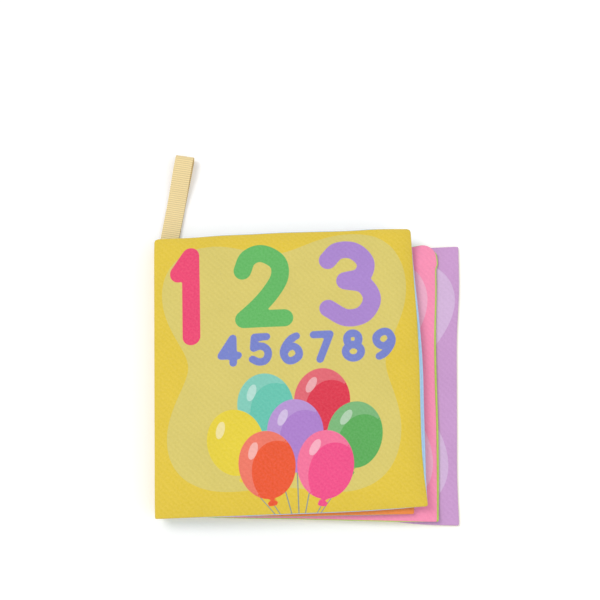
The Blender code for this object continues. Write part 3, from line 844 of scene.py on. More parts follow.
# The pale patches: where each lies, and the waves of its outline, by their count round it, their size as a
# share, and where they start. Each page has one more wave, which starts a step further on from page to page.
COVER_PATCH_CENTRE = (69 * MM, 78 * MM)
COVER_PATCH_RADII = (70 * MM, 68 * MM)
COVER_WAVES = ((2, -0.09, 0.2), (3, 0.04, -1.9), (4, 0.17, math.pi), (5, 0.02, 0.4))
BACK_PATCH_RADII = (62 * MM, 58 * MM)
BACK_WAVES = ((2, 0.05, 2.6), (3, 0.06, 0.2), (5, 0.03, 1.4))
PAGE_PATCH_WIDTH_SHARE = 0.515
PAGE_PATCH_RADIUS = 66 * MM
PAGE_PATCH_UP = 74.5 * MM
PAGE_WAVES = ((2, -0.10, 0.0), (4, 0.20, math.pi))
PAGE_OWN_WAVE_COUNT = 3
PAGE_OWN_WAVE_SHARE = 0.055
PAGE_OWN_WAVE_START = 1.3
PAGE_OWN_WAVE_STEP = 0.375

# A page's large numeral, and the rows of motifs below it. Widths are shares of the page's width.
PAGE_NUMERAL_LEFT_SHARE = 0.36
PAGE_NUMERAL_WIDTH_SHARE = 0.27
PAGE_NUMERAL_UP = 84 * MM
PAGE_NUMERAL_HEIGHT = 40 * MM
MOTIFS_IN_A_ROW = 3
MOTIF_PITCH_SHARE = 0.24
MOTIFS_UP = 45 * MM
MOTIF_ROW_PITCH = 26 * MM
MOTIF_SIZES = {1: 15 * MM, 2: 11 * MM}

# The motif of each page, by its number, in shares of the motif's size. Suns, stars and flowers: radius, count
# of petals, how deep they are cut, and how far they are turned. Dots and leaves: both radii and the tilt.
PETALLED_SHARES = {1: (0.85, 9, 0.10, 0.0), 3: (0.75, 5, 0.30, math.pi / 2), 4: (0.80, 6, 0.18, 0.0)}
OVAL_SHARES = {5: (0.80, 0.80, 0.0), 6: (0.45, 0.95, -0.6)}
HEART_SHARE = 1.5

# The inks, as sRGB hex, and how strongly the two cover that what lies below shows through.
INKS = {
    "pale_yellow": PALE_YELLOW,
    "red_pink": "E8426F",
    "green": "5FB45F",
    "purple": "A783CB",
    "blue": "7480C8",
    "string": "7F8E96",
    "teal_balloon": TEAL,
    "red_balloon": "D93048",
    "yellow_balloon": "E3CD38",
    "green_balloon": "57A855",
    "purple_balloon": "A97CC9",
    "orange_balloon": "E8542A",
    "pink_balloon": "EE4B86",
    "light_band": WHITE,
    "glint": WHITE,
    "pale_blue": "C3DBEE",
    "pale_orange": "E6A873",
    "pale_teal": "9AD6C8",
    "pale_pink": "F2AFCA",
    "pale_lime": "CBDD8C",
    "pale_lavender": "D3B4DA",
    "white": "F7F3EA",
}
INK_STRENGTHS = {"light_band": 0.10, "glint": 0.30}


def balloon_parts(x, y, centre, tilt):
    """A balloon's body with its knot, the lighter part of it, its glint, and where its string starts."""
    tilt = math.radians(tilt)
    across = (math.cos(tilt), math.sin(tilt))
    down = (math.sin(tilt), -math.cos(tilt))

    def at(shares):
        side, low = shares[0] * BALLOON_RADII[0], shares[1] * BALLOON_RADII[1]
        return centre[0] + side * across[0] + low * down[0], centre[1] + side * across[1] + low * down[1]

    def spot(middle_shares, radii_shares, turned):
        radii = [share * radius for share, radius in zip(radii_shares, BALLOON_RADII)]
        return oval(x, y, at(middle_shares), radii, tilt + turned)

    body = oval(x, y, centre, BALLOON_RADII, tilt)
    knot = stroke(x, y, [at(shares) for shares in KNOT_SHARES], KNOT_HALF_SHARE * BALLOON_RADII[0])
    neck = stroke(x, y, [at(shares) for shares in NECK_SHARES], NECK_HALF_SHARE * BALLOON_RADII[0])
    shape = np.minimum(body, np.minimum(knot, neck))
    band = np.maximum(body, -spot(UNLIT_MIDDLE_SHARES, UNLIT_RADII_SHARES, 0.0))
    return shape, band, spot(GLINT_MIDDLE_SHARES, GLINT_RADII_SHARES, GLINT_TILT), at(STRING_START_SHARES)


def numeral_row(x, y, numbers, corner, pitch, size, stroke_width):
    """Numerals side by side. The corner is the first one's, at its lower left."""
    row = [numeral(x, y, number, (corner[0] + index * pitch, corner[1]), size, stroke_width)
           for index, number in enumerate(numbers)]
    return np.min(row, axis=0)


def front_cover_print(x, y, width):
    """Three large numerals, a row of small ones and a bunch of balloons, at fixed places from the spine."""
    inks = {"pale_yellow": wavy_patch(x, y, COVER_PATCH_CENTRE, COVER_PATCH_RADII, COVER_WAVES)}
    for ink, number, corner, size in COVER_NUMERALS:
        inks[ink] = numeral(x, y, number, corner, size, LARGE_STROKE_WIDTH)
    inks["blue"] = numeral_row(
        x, y, COVER_ROW_NUMBERS, COVER_ROW_CORNER, COVER_ROW_PITCH, COVER_ROW_SIZE, COVER_ROW_STROKE_WIDTH,
    )
    parts = [balloon_parts(x, y, centre, tilt) for _, centre, tilt in BALLOONS]
    for index, (_, _, _, tail) in enumerate(parts):
        run = (BALLOON_LINES_MEET[0] - tail[0]) / (BALLOON_LINES_MEET[1] - tail[1])
        # Above its knot the line is too thin to show.
        thinner = 1 + STRING_THINS_BY * np.clip((y - tail[1]) / STRING_WIDTH, 0.0, 1.0)
        inks[f"string_{index + 1}"] = (x - tail[0] - run * (y - tail[1])) * thinner
    bands, glints = [], []
    for index, (shape, band, glint, _) in enumerate(parts):
        over = [part[0] for part in parts[index + 1:]]
        cover = np.min(over, axis=0) if over else np.full(x.shape, np.inf)
        inks[BALLOONS[index][0]] = shape
        # On yellow the light band would look like the pale patch behind it.
        if BALLOONS[index][0] != "yellow_balloon":
            bands.append(np.maximum(band, -cover))
        glints.append(np.maximum(glint, -cover))
    inks["light_band"] = np.min(bands, axis=0)
    inks["glint"] = np.min(glints, axis=0)
    return inks


def page_motif(x, y, number, centre, size):
    if number in PETALLED_SHARES:
        radius_share, count, depth_share, turned = PETALLED_SHARES[number]
        return petals(x, y, centre, radius_share * size, count, depth_share, turned)
    if number in OVAL_SHARES:
        across_share, up_share, tilt = OVAL_SHARES[number]
        return oval(x, y, centre, (across_share * size, up_share * size), tilt)
    return heart(x, y, centre, HEART_SHARE * size)


def page_print(number, patch, numeral_ink, motif_ink):
    """A page with a wavy patch, one large numeral, and as many plain motifs as it says."""

    def made(x, y, width):
        radii = (PAGE_PATCH_WIDTH_SHARE * width, PAGE_PATCH_RADIUS)
        wave_start = PAGE_OWN_WAVE_START + PAGE_OWN_WAVE_STEP * number
        waves = (*PAGE_WAVES, (PAGE_OWN_WAVE_COUNT, PAGE_OWN_WAVE_SHARE, wave_start))
        inks = {patch: wavy_patch(x, y, (width / 2, PAGE_PATCH_UP), radii, waves)}
        corner = (PAGE_NUMERAL_LEFT_SHARE * width, PAGE_NUMERAL_UP)
        size = (PAGE_NUMERAL_WIDTH_SHARE * width, PAGE_NUMERAL_HEIGHT)
        inks[numeral_ink] = numeral(x, y, number, corner, size, LARGE_STROKE_WIDTH)
        columns = min(number, MOTIFS_IN_A_ROW)
        rows = math.ceil(number / MOTIFS_IN_A_ROW)
        motifs = []
        for index in range(number):
            row, column = divmod(index, columns)
            across_share = 0.5 + (column - (columns - 1) / 2) * MOTIF_PITCH_SHARE
            centre = (width * across_share, MOTIFS_UP - MOTIF_ROW_PITCH * (row - (rows - 1) / 2))
            motifs.append(page_motif(x, y, number, centre, MOTIF_SIZES[rows]))
        inks[motif_ink] = np.min(motifs, axis=0)
        return inks

    return made


def back_cover_print(x, y, width):
    """A wavy patch with a row of small numerals on it."""
    corner = (width / 2 - BACK_ROW_BEFORE_MIDDLE, BACK_ROW_UP)
    return {
        "pale_yellow": wavy_patch(x, y, (width / 2, LEAF_HEIGHT / 2), BACK_PATCH_RADII, BACK_WAVES),
        "blue": numeral_row(
            x, y, BACK_ROW_NUMBERS, corner, BACK_ROW_PITCH, BACK_ROW_SIZE, BACK_ROW_STROKE_WIDTH,
        ),
    }


# Each cloth: its leaf, its side, its slot name, its ground colour and its print.
CLOTHS = {
    "back_cover_outer_cloth": ("back_cover", -1, "yellow_cloth", YELLOW, back_cover_print),
    "back_cover_lining_cloth": (
        "back_cover", 1, "lavender_cloth", LAVENDER, page_print(6, "pale_lavender", "white", "purple"),
    ),
    "lower_leaf_back_cloth": (
        "lower_leaf", -1, "lime_cloth", LIME, page_print(5, "pale_lime", "blue", "red_pink"),
    ),
    "lower_leaf_front_cloth": (
        "lower_leaf", 1, "pink_cloth", PINK, page_print(4, "pale_pink", "red_pink", "white"),
    ),
    "upper_leaf_back_cloth": (
        "upper_leaf", -1, "teal_cloth", TEAL, page_print(3, "pale_teal", "white", "yellow_balloon"),
    ),
    "upper_leaf_front_cloth": (
        "upper_leaf", 1, "orange_cloth", ORANGE, page_print(2, "pale_orange", "white", "red_balloon"),
    ),
    "front_cover_lining_cloth": (
        "front_cover", -1, "light_blue_cloth", LIGHT_BLUE,
        page_print(1, "pale_blue", "blue", "yellow_balloon"),
    ),
    "front_cover_outer_cloth": ("front_cover", 1, "yellow_cloth", YELLOW, front_cover_print),
}

# What lies on the spine lies between two bodies, where it stays as it is made. Each bend: the bodies, where
# it starts and where it ends.
SPINE_BENDS = {
    "back_cover_outer_cloth": (
        "root", "lower_leaf", (SPINE_X, 0, 0.5 * ROOT_PITCH), (SPINE_X - 0.5 * ROOT_PITCH, 0, ROOT_PITCH),
    ),
    "front_cover_outer_cloth": (
        "upper_leaf", "front_cover", (SPINE_X, 0, 2.5 * ROOT_PITCH), (SPINE_X, 0, 3.5 * ROOT_PITCH),
    ),
}
SPINE_MIDDLE_BEND = (
    "lower_leaf", "upper_leaf", (SPINE_X, 0, BACK_SPINE_TOP), (SPINE_X, 0, FRONT_SPINE_BOTTOM),
)
SPINE_ENDS = {"front_cover_outer_cloth": FRONT_SPINE_BOTTOM, "back_cover_outer_cloth": BACK_SPINE_TOP}


def add_node(tree, kind, settings, inputs):
    """Adds a node. An input given a socket is linked to it, and any other value is set."""
    node = tree.nodes.new(kind)
    for name, value in settings.items():
        setattr(node, name, value)
    for name, value in inputs.items():
        if isinstance(value, bpy.types.NodeSocket):
            tree.links.new(value, node.inputs[name])
        else:
            node.inputs[name].default_value = value
    return node


def new_material(name):
    """An empty material with its surface shader, and that shader's tree."""
    material = bpy.data.materials.new(name)
    material.use_nodes = True
    tree = material.node_tree
    tree.nodes.clear()
    shader = add_node(tree, "ShaderNodeBsdfPrincipled", {}, {})
    add_node(tree, "ShaderNodeOutputMaterial", {}, {"Surface": shader.outputs["BSDF"]})
    return material, tree, shader


def shaded(tree, colour, patterns, base):
    """A colour that patterns make lighter and darker, each by a swing of its own."""
    shade = base
    for pattern, swing in patterns:
        inputs = {0: pattern, 1: swing, 2: shade}
        shade = add_node(tree, "ShaderNodeMath", {"operation": "MULTIPLY_ADD"}, inputs).outputs[0]
    tint = add_node(tree, "ShaderNodeVectorMath", {"operation": "SCALE"}, {0: colour, "Scale": shade})
    return tint.outputs["Vector"]


def finish_surface(tree, shader, colour, height, strength, depth, values):
    """Gives a material's shader its colour, its fine relief and its other values."""
    bump = add_node(tree, "ShaderNodeBump", {}, {"Height": height, "Strength": strength, "Distance": depth})
    tree.links.new(colour, shader.inputs["Base Color"])
    tree.links.new(bump.outputs["Normal"], shader.inputs["Normal"])
    for name, value in values.items():
        shader.inputs[name].default_value = value


# Brushed polyester knit, heat printed: matt, with soft-edged inks, a nap of loose fibres whose sheen is
# painted into the colour as a little random whitening, and faint slanting lines where the nap was brushed.
# Nap and lines are drawn twice as coarse as the real ones, which would be too fine to show.
KNIT_PITCH = 0.55 * MM
KNIT_RELIEF = 0.04 * MM
NAP_SIZE = 1.1 * MM
NAP_LINE_PITCH = 1.7 * MM
CLOTH_PATCH_SIZE = 22.0 * MM
PAINTED_NAP_SHEEN_SHARE = 0.03
INK_SOFTNESS = 0.16 * MM
WAVE_PERIOD_AT_SCALE_ONE = 2 * math.pi / 20


def printed_polyester(name, ground, inks):
    material, tree, shader = new_material(name)
    flat = add_node(tree, "ShaderNodeAttribute", {"attribute_name": "flat_place"}, {}).outputs["Vector"]
    colour = linear(ground)
    for ink in inks:
        kind = "string" if ink.startswith("string_") else ink
        distance = add_node(tree, "ShaderNodeAttribute", {"attribute_name": "ink_" + ink}, {}).outputs["Fac"]
        if kind == "string":
            size = add_node(tree, "ShaderNodeMath", {"operation": "ABSOLUTE"}, {0: distance}).outputs[0]
            distance = add_node(tree, "ShaderNodeMath", {"operation": "SUBTRACT"},
                                {0: size, 1: STRING_WIDTH / 2}).outputs[0]
        share = add_node(tree, "ShaderNodeMapRange", {"interpolation_type": "SMOOTHSTEP"},
                         {"Value": distance, "From Min": -INK_SOFTNESS, "From Max": INK_SOFTNESS,
                          "To Min": INK_STRENGTHS.get(kind, 1.0), "To Max": 0.0}).outputs["Result"]
        inked = {0: share, 6: colour, 7: linear(INKS[kind])}
        colour = add_node(tree, "ShaderNodeMix", {"data_type": "RGBA"}, inked).outputs[2]
    nap = add_node(tree, "ShaderNodeTexNoise", {}, {"Vector": flat, "Scale": 1 / NAP_SIZE, "Detail": 2.0})
    patches = add_node(tree, "ShaderNodeTexNoise", {},
                       {"Vector": flat, "Scale": 1 / CLOTH_PATCH_SIZE, "Detail": 2.0})
    brushed = add_node(tree, "ShaderNodeTexWave", {"bands_direction": "DIAGONAL"},
                       {"Vector": flat, "Scale": WAVE_PERIOD_AT_SCALE_ONE / NAP_LINE_PITCH, "Distortion": 2.5,
                        "Detail Scale": 0.5})
    # Painted sheen: the nap's noise mixes a small share of white into the colour, where loose fibres would
    # catch the light.
    painted_nap_sheen = add_node(tree, "ShaderNodeMapRange", {},
                        {"Value": nap.outputs["Fac"], "From Min": 0.3, "From Max": 0.7,
                         "To Min": 0.0, "To Max": PAINTED_NAP_SHEEN_SHARE})
    fibres = add_node(tree, "ShaderNodeMix", {"data_type": "RGBA"},
                      {0: painted_nap_sheen.outputs["Result"], 6: colour, 7: linear(WHITE)})
    swings = ((nap.outputs["Fac"], 0.10), (brushed.outputs["Fac"], 0.03), (patches.outputs["Fac"], 0.10))
    uneven = shaded(tree, fibres.outputs[2], swings, base=0.865)
    wales, courses = (
        add_node(tree, "ShaderNodeTexWave", {"bands_direction": direction},
                 {"Vector": flat, "Scale": WAVE_PERIOD_AT_SCALE_ONE / KNIT_PITCH, "Distortion": 1.2,
                  "Detail Scale": 1.0})
        for direction in ("X", "Y")
    )
    loops = add_node(tree, "ShaderNodeMath", {"operation": "ADD"},
                     {0: wales.outputs["Fac"], 1: courses.outputs["Fac"]})
    relief = add_node(tree, "ShaderNodeMath", {"operation": "MULTIPLY_ADD"},
                      {0: nap.outputs["Fac"], 1: 1.5, 2: loops.outputs[0]})
    values = {"Roughness": 0.82, "Specular IOR Level": 0.25, "Sheen Weight": 0.12, "Sheen Roughness": 0.45}
    finish_surface(tree, shader, uneven, relief.outputs[0], strength=0.35, depth=KNIT_RELIEF, values=values)
    return material


def make_cloth(name):
    leaf_name, side, slot, ground, print_of = CLOTHS[name]
    leaf = Leaf(leaf_name)
    cloth = Cloth(leaf, side, SPINE_ENDS.get(name))
    out_lines, up_lines = cloth_lines(cloth)
    data, out, up = two_layers(
        "printed_" + name, out_lines, up_lines,
        lambda along, height: cloth.places(along, height, False),
        lambda along, height: cloth.places(along, height, True),
    )
    store_flat_place(data, out, up)
    across = out if side > 0 else leaf.reach - out
    inks = print_of(across, up, leaf.reach)
    for ink, distance in inks.items():
        store(data, "ink_" + ink, distance)
    material = printed_polyester(name, ground, inks)
    obj = dress(data, material, SPINE_BENDS.get(name, leaf.body), [name])


def make_spine_band():
    """The strip of cloth over the roots of the inner leaves, with a groove where the stitches pull it in."""
    low_strays = (LOWER_STRAYS["back_cover"][0], LOWER_STRAYS["front_cover"][0] - SPINE_FOOT_RISE)

    def face(depth):
        def places(z, up):
            from_stitches = (z - SPINE_STITCH_HEIGHT) / GROOVE_HALF_WIDTH
            groove = GROOVE_DEPTH * np.clip(1 - from_stitches ** 2, 0.0, 1.0)
            low_stray = np.interp(z, (BACK_SPINE_TOP, FRONT_SPINE_BOTTOM), low_strays)
            y = up - LEAF_HEIGHT / 2 + spine_top_rise(up) - low_stray * (1 - smoothstep(up / STRAY_FADE))
            x = SPINE_X + depth + groove
            return np.stack([x, round_spine_top(x, y), z], axis=1)

        return places

    z_lines = np.array(spaced(BACK_SPINE_TOP, FRONT_SPINE_BOTTOM, GRID_PITCH / 6))
    up_lines = np.array(spaced(0.0, LEAF_HEIGHT, GRID_PITCH / 2))
    data, z, up = two_layers("spine_middle_cloth", z_lines, up_lines, face(0.0), face(CLOTH_THICKNESS))
    store_flat_place(data, z, up)
    material = printed_polyester("spine_middle_cloth", YELLOW, {})
    nodes = ["lower_leaf_spine_cloth", "upper_leaf_spine_cloth"]
    return dress(data, material, SPINE_MIDDLE_BEND, nodes)


# Spun polyester sewing thread of two twisted plies: soft, with slanting ribs from the twist, and painted
# shade in the grooves between them.
THREAD_TWIST_PITCH = 0.5 * MM
THREAD_RELIEF = 0.05 * MM


def sewing_thread(name, colour):
    material, tree, shader = new_material(name)
    where = add_node(tree, "ShaderNodeTexCoord", {}, {}).outputs["Object"]
    twist = add_node(tree, "ShaderNodeTexWave", {"bands_direction": "DIAGONAL"},
                     {"Vector": where, "Scale": WAVE_PERIOD_AT_SCALE_ONE / THREAD_TWIST_PITCH,
                      "Distortion": 0.6})
    fuzz = add_node(tree, "ShaderNodeTexNoise", {}, {"Vector": where, "Scale": 4 / THREAD_TWIST_PITCH})
    # Painted shade: the twist's wave makes the colour lighter and darker along the slanting ribs.
    tint = shaded(tree, linear(colour)[:3], [(twist.outputs["Fac"], 0.14)], base=0.88)
    height = add_node(tree, "ShaderNodeMath", {"operation": "ADD"},
                      {0: twist.outputs["Fac"], 1: fuzz.outputs["Fac"]})
    values = {"Roughness": 0.6, "Sheen Weight": 0.2}
    finish_surface(tree, shader, tint, height.outputs[0], strength=0.5, depth=THREAD_RELIEF, values=values)
    return material


# The points of a drawn thread that lie this close are one, as a share of its diameter.
MERGE_SHARE = 0.01


def thread_mesh(name, places, diameter):
    """A sewing thread as a closed tube along the places."""
    curve = bpy.data.curves.new(name, "CURVE")
    curve.dimensions = "3D"
    curve.bevel_depth = diameter / 2
    curve.bevel_resolution = 1
    curve.use_fill_caps = True
    spline = curve.splines.new("POLY")
    spline.points.add(len(places) - 1)
    for point, place in zip(spline.points, places):
        point.co = (*place, 1.0)
    drawn = add_piece(curve)
    bpy.context.view_layer.update()
    data = bpy.data.meshes.new_from_object(drawn.evaluated_get(bpy.context.evaluated_depsgraph_get()))
    bpy.data.objects.remove(drawn)
    bpy.data.curves.remove(curve)
    data.name = name
    mesh = bmesh.new()
    mesh.from_mesh(data)
    bmesh.ops.remove_doubles(mesh, verts=mesh.verts[:], dist=MERGE_SHARE * diameter)
    return finished(mesh, data)


def make_spine_stitching():
    """One thread in long even stitches, which goes through the spine cloth between them."""
    run = LEAF_HEIGHT - 2 * SPINE_STITCH_MARGIN
    along = np.linspace(0.0, run, round(run / SPINE_STITCH_LENGTH) * STITCH_STEPS + 1)
    part = (along / SPINE_STITCH_LENGTH) % 1.0
    rise_share = (1 - STITCH_SHOWN_SHARE) / 2
    shown = smoothstep(part / rise_share) * smoothstep((1 - part) / rise_share)
    x = SPINE_X + SPINE_THREAD_DIP - (SPINE_THREAD_DIP + SPINE_THREAD_PROUD) * shown
    places = np.stack([x, along - run / 2, np.full_like(x, SPINE_STITCH_HEIGHT)], axis=1)
    data = thread_mesh("spine_running_stitch", places, SPINE_THREAD_DIAMETER)
    material = sewing_thread("spun_polyester_spine_thread", CREAM)
    dress(data, material, SPINE_MIDDLE_BEND, ["spine_stitching"])


def make_seam_stitches(leaf, thread):
    """The seam that closes a leaf on its three free edges, through both turned hems."""
    far, top = leaf.reach - SEAM_INSET, LEAF_HEIGHT - SEAM_INSET
    turn = SEAM_INSET + CORNER_RADIUS
    route = [(SEAM_INSET, SEAM_INSET), (leaf.reach - turn, SEAM_INSET), (far, turn),
             (far, LEAF_HEIGHT - turn), (leaf.reach - turn, top), (SEAM_INSET, top)]
    points = []
    for start, end in zip(route, route[1:]):
        steps = max(round(math.dist(start, end) / SEAM_STITCH_LENGTH * STITCH_STEPS / 2), 1)
        points += list(np.linspace(start, end, steps + 1)[:-1])
    out, up = np.array(points + [route[-1]]).T
    x, y = leaf.plan(out, up)
    along = np.concatenate([[0.0], np.cumsum(np.hypot(np.diff(x), np.diff(y)))])
    sway = np.minimum(HEM_THICKNESS, leaf.half_room(out, up) - SEAM_THREAD_DIAMETER / 2)
    z = leaf.middle(out, up) + sway * np.sin(2 * math.pi * along / SEAM_STITCH_LENGTH)
    data = thread_mesh(leaf.name + "_seam_stitches", np.stack([x, y, z], axis=1), SEAM_THREAD_DIAMETER)
    dress(data, thread, leaf.body, [leaf.name + "_seam_thread"])


# Bonded polyester wadding: a white mat of crimped fibres that lie mostly flat, soft and uneven.
FIBRE_SIZE = 0.9 * MM
WADDING_RELIEF = 0.3 * MM


def bonded_wadding():
    material, tree, shader = new_material("bonded_polyester_wadding")
    where = add_node(tree, "ShaderNodeTexCoord", {}, {}).outputs["Object"]
    lying = add_node(tree, "ShaderNodeMapping", {}, {"Vector": where, "Scale": (1.0, 0.35, 4.0)})
    fibres = add_node(tree, "ShaderNodeTexNoise", {},
                      {"Vector": lying.outputs["Vector"], "Scale": 1 / FIBRE_SIZE, "Detail": 6.0,
                       "Distortion": 1.5})
    tufts = add_node(tree, "ShaderNodeTexNoise", {}, {"Vector": where, "Scale": 0.12 / FIBRE_SIZE})
    tint = shaded(tree, linear(WADDING_WHITE)[:3], [(fibres.outputs["Fac"], 0.18)], base=0.84)
    height = add_node(tree, "ShaderNodeMath", {"operation": "ADD"},
                      {0: fibres.outputs["Fac"], 1: tufts.outputs["Fac"]})
    values = {"Roughness": 0.95, "Sheen Weight": 0.3}
    finish_surface(tree, shader, tint, height.outputs[0], strength=0.8, depth=WADDING_RELIEF, values=values)
    return material


def make_wadding(leaf, seed, material):
    """The pad that fills a leaf: a little lumpy, and thinner where the film lies on it."""

    def under_film(out, up):
        share = smoothstep(out / FILM_ROOT_INSET)
        for distance in (leaf.reach - out, up, LEAF_HEIGHT - up):
            inside = (distance - WADDING_EDGE_INSET) / (FILM_EDGE_INSET - WADDING_EDGE_INSET)
            share = share * smoothstep(inside)
        return share

    def face(side):
        def places(out, up):
            x, y = leaf.plan(out, up)
            lumps = ripples(out, up, seed + side, WADDING_WAVES, *WADDING_WAVE_LENGTHS) - 1
            height = leaf.half_room(out, up) - WADDING_CLEARANCE + WADDING_LUMPS * lumps
            if side > 0:
                height = height - FILM_ROOM * under_film(out, up)
            return np.stack([x, y, leaf.middle(out, up) + side * height], axis=1)

        return places

    lines = inset_lines(leaf, WADDING_ROOT_INSET, WADDING_EDGE_INSET, 2 * GRID_PITCH)
    data, _, _ = two_layers(leaf.name + "_wadding_pad", *lines, face(-1), face(1))
    obj = dress(data, material, leaf.body, [leaf.name + "_wadding"])


# Cast polypropylene film, thin and stiff, crumpled by hand: smooth and shiny, with a silvery bloom.
FILM_CREASE_SIZE = 6.0 * MM
FILM_RELIEF = 0.2 * MM


def polypropylene_film():
    material, tree, shader = new_material("cast_polypropylene_film")
    where = add_node(tree, "ShaderNodeTexCoord", {}, {}).outputs["Object"]
    creases = add_node(tree, "ShaderNodeTexVoronoi", {"feature": "DISTANCE_TO_EDGE"},
                       {"Vector": where, "Scale": 1 / FILM_CREASE_SIZE})
    bloom = add_node(tree, "ShaderNodeTexNoise", {}, {"Vector": where, "Scale": 0.3 / FILM_CREASE_SIZE})
    tint = shaded(tree, linear(FILM_SILVER)[:3], [(bloom.outputs["Fac"], 0.15)], base=0.88)
    height = creases.outputs["Distance"]
    values = {"Roughness": 0.18, "IOR": 1.49}
    finish_surface(tree, shader, tint, height, strength=0.4, depth=FILM_RELIEF, values=values)
    return material


def make_crinkle_film(leaf, seed, material):
    """The crumpled film that rustles, between the wadding and the front cloth."""

    def face(lift):
        def places(out, up):
            x, y = leaf.plan(out, up)
            ridges = np.clip(np.abs(ripples(out, up, seed, FILM_WAVES, *FILM_WAVE_LENGTHS)), 0.0, 0.5)
            height = leaf.half_room(out, up) - FILM_ROOM / 2 + FILM_CRINKLE * (1 - 4 * ridges)
            return np.stack([x, y, leaf.middle(out, up) + height + lift], axis=1)

        return places

    lines = inset_lines(leaf, FILM_ROOT_INSET, FILM_EDGE_INSET, 1.5 * GRID_PITCH)
    lower, upper = face(-FILM_THICKNESS / 2), face(FILM_THICKNESS / 2)
    data, _, _ = two_layers(leaf.name + "_film_sheet", *lines, lower, upper)
    obj = dress(data, material, leaf.body, [leaf.name + "_crinkle_film"])


# Polyester grosgrain ribbon with thick wefts: cross ribs with a low satin shine, painted shade in the valleys
# between the ribs, and flat selvedges.
RIBBON_RELIEF = 0.05 * MM


def grosgrain():
    material, tree, shader = new_material("polyester_grosgrain")
    flat = add_node(tree, "ShaderNodeAttribute", {"attribute_name": "flat_place"}, {}).outputs["Vector"]
    ribs = add_node(tree, "ShaderNodeTexWave", {"bands_direction": "X"},
                    {"Vector": flat, "Scale": WAVE_PERIOD_AT_SCALE_ONE / RIB_PITCH, "Distortion": 0.3})
    warps = add_node(tree, "ShaderNodeTexWave", {"bands_direction": "Y"},
                     {"Vector": flat, "Scale": WAVE_PERIOD_AT_SCALE_ONE / SELVEDGE, "Distortion": 0.5})
    # Painted shade: the ribs' wave darkens the colour in the valleys between them, and the warps' wave varies
    # it a little.
    swings = ((ribs.outputs["Fac"], 0.28), (warps.outputs["Fac"], 0.05))
    tint = shaded(tree, linear(CREAM)[:3], swings, base=0.74)
    height = add_node(tree, "ShaderNodeMath", {"operation": "ADD"},
                      {0: ribs.outputs["Fac"], 1: warps.outputs["Fac"]})
    values = {"Roughness": 0.48, "Sheen Weight": 0.15}
    finish_surface(tree, shader, tint, height.outputs[0], strength=0.4, depth=RIBBON_RELIEF, values=values)
    return material


def ribbon_route(seam_height):
    """Distance out from the seam and height of the ribbon's middle line, from one tail to the other."""
    turn_at = RIBBON_LOOP_LENGTH - RIBBON_BIGHT_RADIUS
    lower_tail = seam_height - RIBBON_TAILS_APART / 2
    upper_tail = seam_height + RIBBON_TAILS_APART / 2
    highest = RIBBON_LOWEST + 2 * RIBBON_BIGHT_RADIUS
    route = [(-RIBBON_SEWN_IN, lower_tail), (0.0, lower_tail), (RIBBON_SETTLE_LENGTH, RIBBON_LOWEST)]
    route += [(turn_at * share / 4, RIBBON_LOWEST) for share in (1, 2, 3)]
    for step in range(BIGHT_STEPS + 1):
        turn = math.pi * step / BIGHT_STEPS
        lift = RIBBON_BIGHT_RADIUS * (1 - math.cos(turn))
        route.append((turn_at + RIBBON_BIGHT_RADIUS * math.sin(turn), RIBBON_LOWEST + lift))
    for step in range(1, RETURN_STEPS + 1):
        opened = 1 - step / RETURN_STEPS
        out = turn_at * (RIBBON_OPENS_AT_SHARE + (1 - RIBBON_OPENS_AT_SHARE) * opened)
        route.append((out, upper_tail + (highest - upper_tail) * float(smoothstep(opened))))
    return route + [(0.0, upper_tail), (-RIBBON_SEWN_IN, upper_tail)]


def make_ribbon_loop():
    """The hanging loop: one ribbon folded in two, which leans away from the spine, with its ribs modelled."""
    leaf = Leaf("back_cover")
    seam_place = np.array([SPINE_X + RIBBON_FROM_SPINE - LEAF_ROOT_X]), np.array([LEAF_HEIGHT])
    line = np.array(smooth_line(ribbon_route(float(leaf.middle(*seam_place)[0])), steps=10))
    lengths = np.concatenate([[0.0], np.cumsum(np.hypot(*np.diff(line, axis=0).T))])
    total = lengths[-1]
    forward = (math.sin(RIBBON_LEAN), math.cos(RIBBON_LEAN))

    def at(along):
        along = np.clip(along, 0.0, total)
        return np.interp(along, lengths, line[:, 0]), np.interp(along, lengths, line[:, 1])

    def face(side):
        def places(along, aside):
            out, height = at(along)
            ahead_out, ahead_height = at(along + RIB_PITCH / 2)
            behind_out, behind_height = at(along - RIB_PITCH / 2)
            run, climb = ahead_out - behind_out, ahead_height - behind_height
            slope = np.hypot(run, climb)
            wave = np.cos(2 * math.pi * along / RIB_PITCH)
            rib = RIB_HEIGHT * wave * smoothstep((RIBBON_WIDTH / 2 - np.abs(aside)) / SELVEDGE)
            off = side * (RIBBON_THICKNESS / 2 + rib)
            out, height = out - off * climb / slope, height + off * run / slope
            wide = aside * (1 + RIB_WIDENS_SHARE * wave)
            x = SPINE_X + RIBBON_FROM_SPINE + forward[0] * out + forward[1] * wide
            y = LEAF_HEIGHT / 2 + forward[1] * out - forward[0] * wide
            return np.stack([x, y, height], axis=1)

        return places

    along_lines = np.array(spaced(0.0, total, RIB_PITCH / 6))
    aside_lines = np.array(spaced(-RIBBON_WIDTH / 2, RIBBON_WIDTH / 2, SELVEDGE))
    data, along, aside = two_layers("grosgrain_loop", along_lines, aside_lines, face(-1), face(1))
    store_flat_place(data, along, aside)
    obj = dress(data, grosgrain(), "root", ["ribbon_loop"])


# Where each leaf's random waves start, for the lumps of its wadding and the crumples of its film.
WADDING_SEEDS = (5, 15, 25, 35)
FILM_SEEDS = (8, 18, 28, 38)


def main():
    """Makes every piece of the book."""
    inflate_cases()
    band = make_spine_band()
    for name in CLOTHS:
        make_cloth(name)
    make_spine_stitching()
    thread = sewing_thread("spun_polyester_seam_thread", CREAM)
    wadding = bonded_wadding()
    film = polypropylene_film()
    for index, name in enumerate(LEAF_ORDER):
        leaf = Leaf(name)
        make_seam_stitches(leaf, thread)
        make_wadding(leaf, WADDING_SEEDS[index], wadding)
        make_crinkle_film(leaf, FILM_SEEDS[index], film)
    make_ribbon_loop()


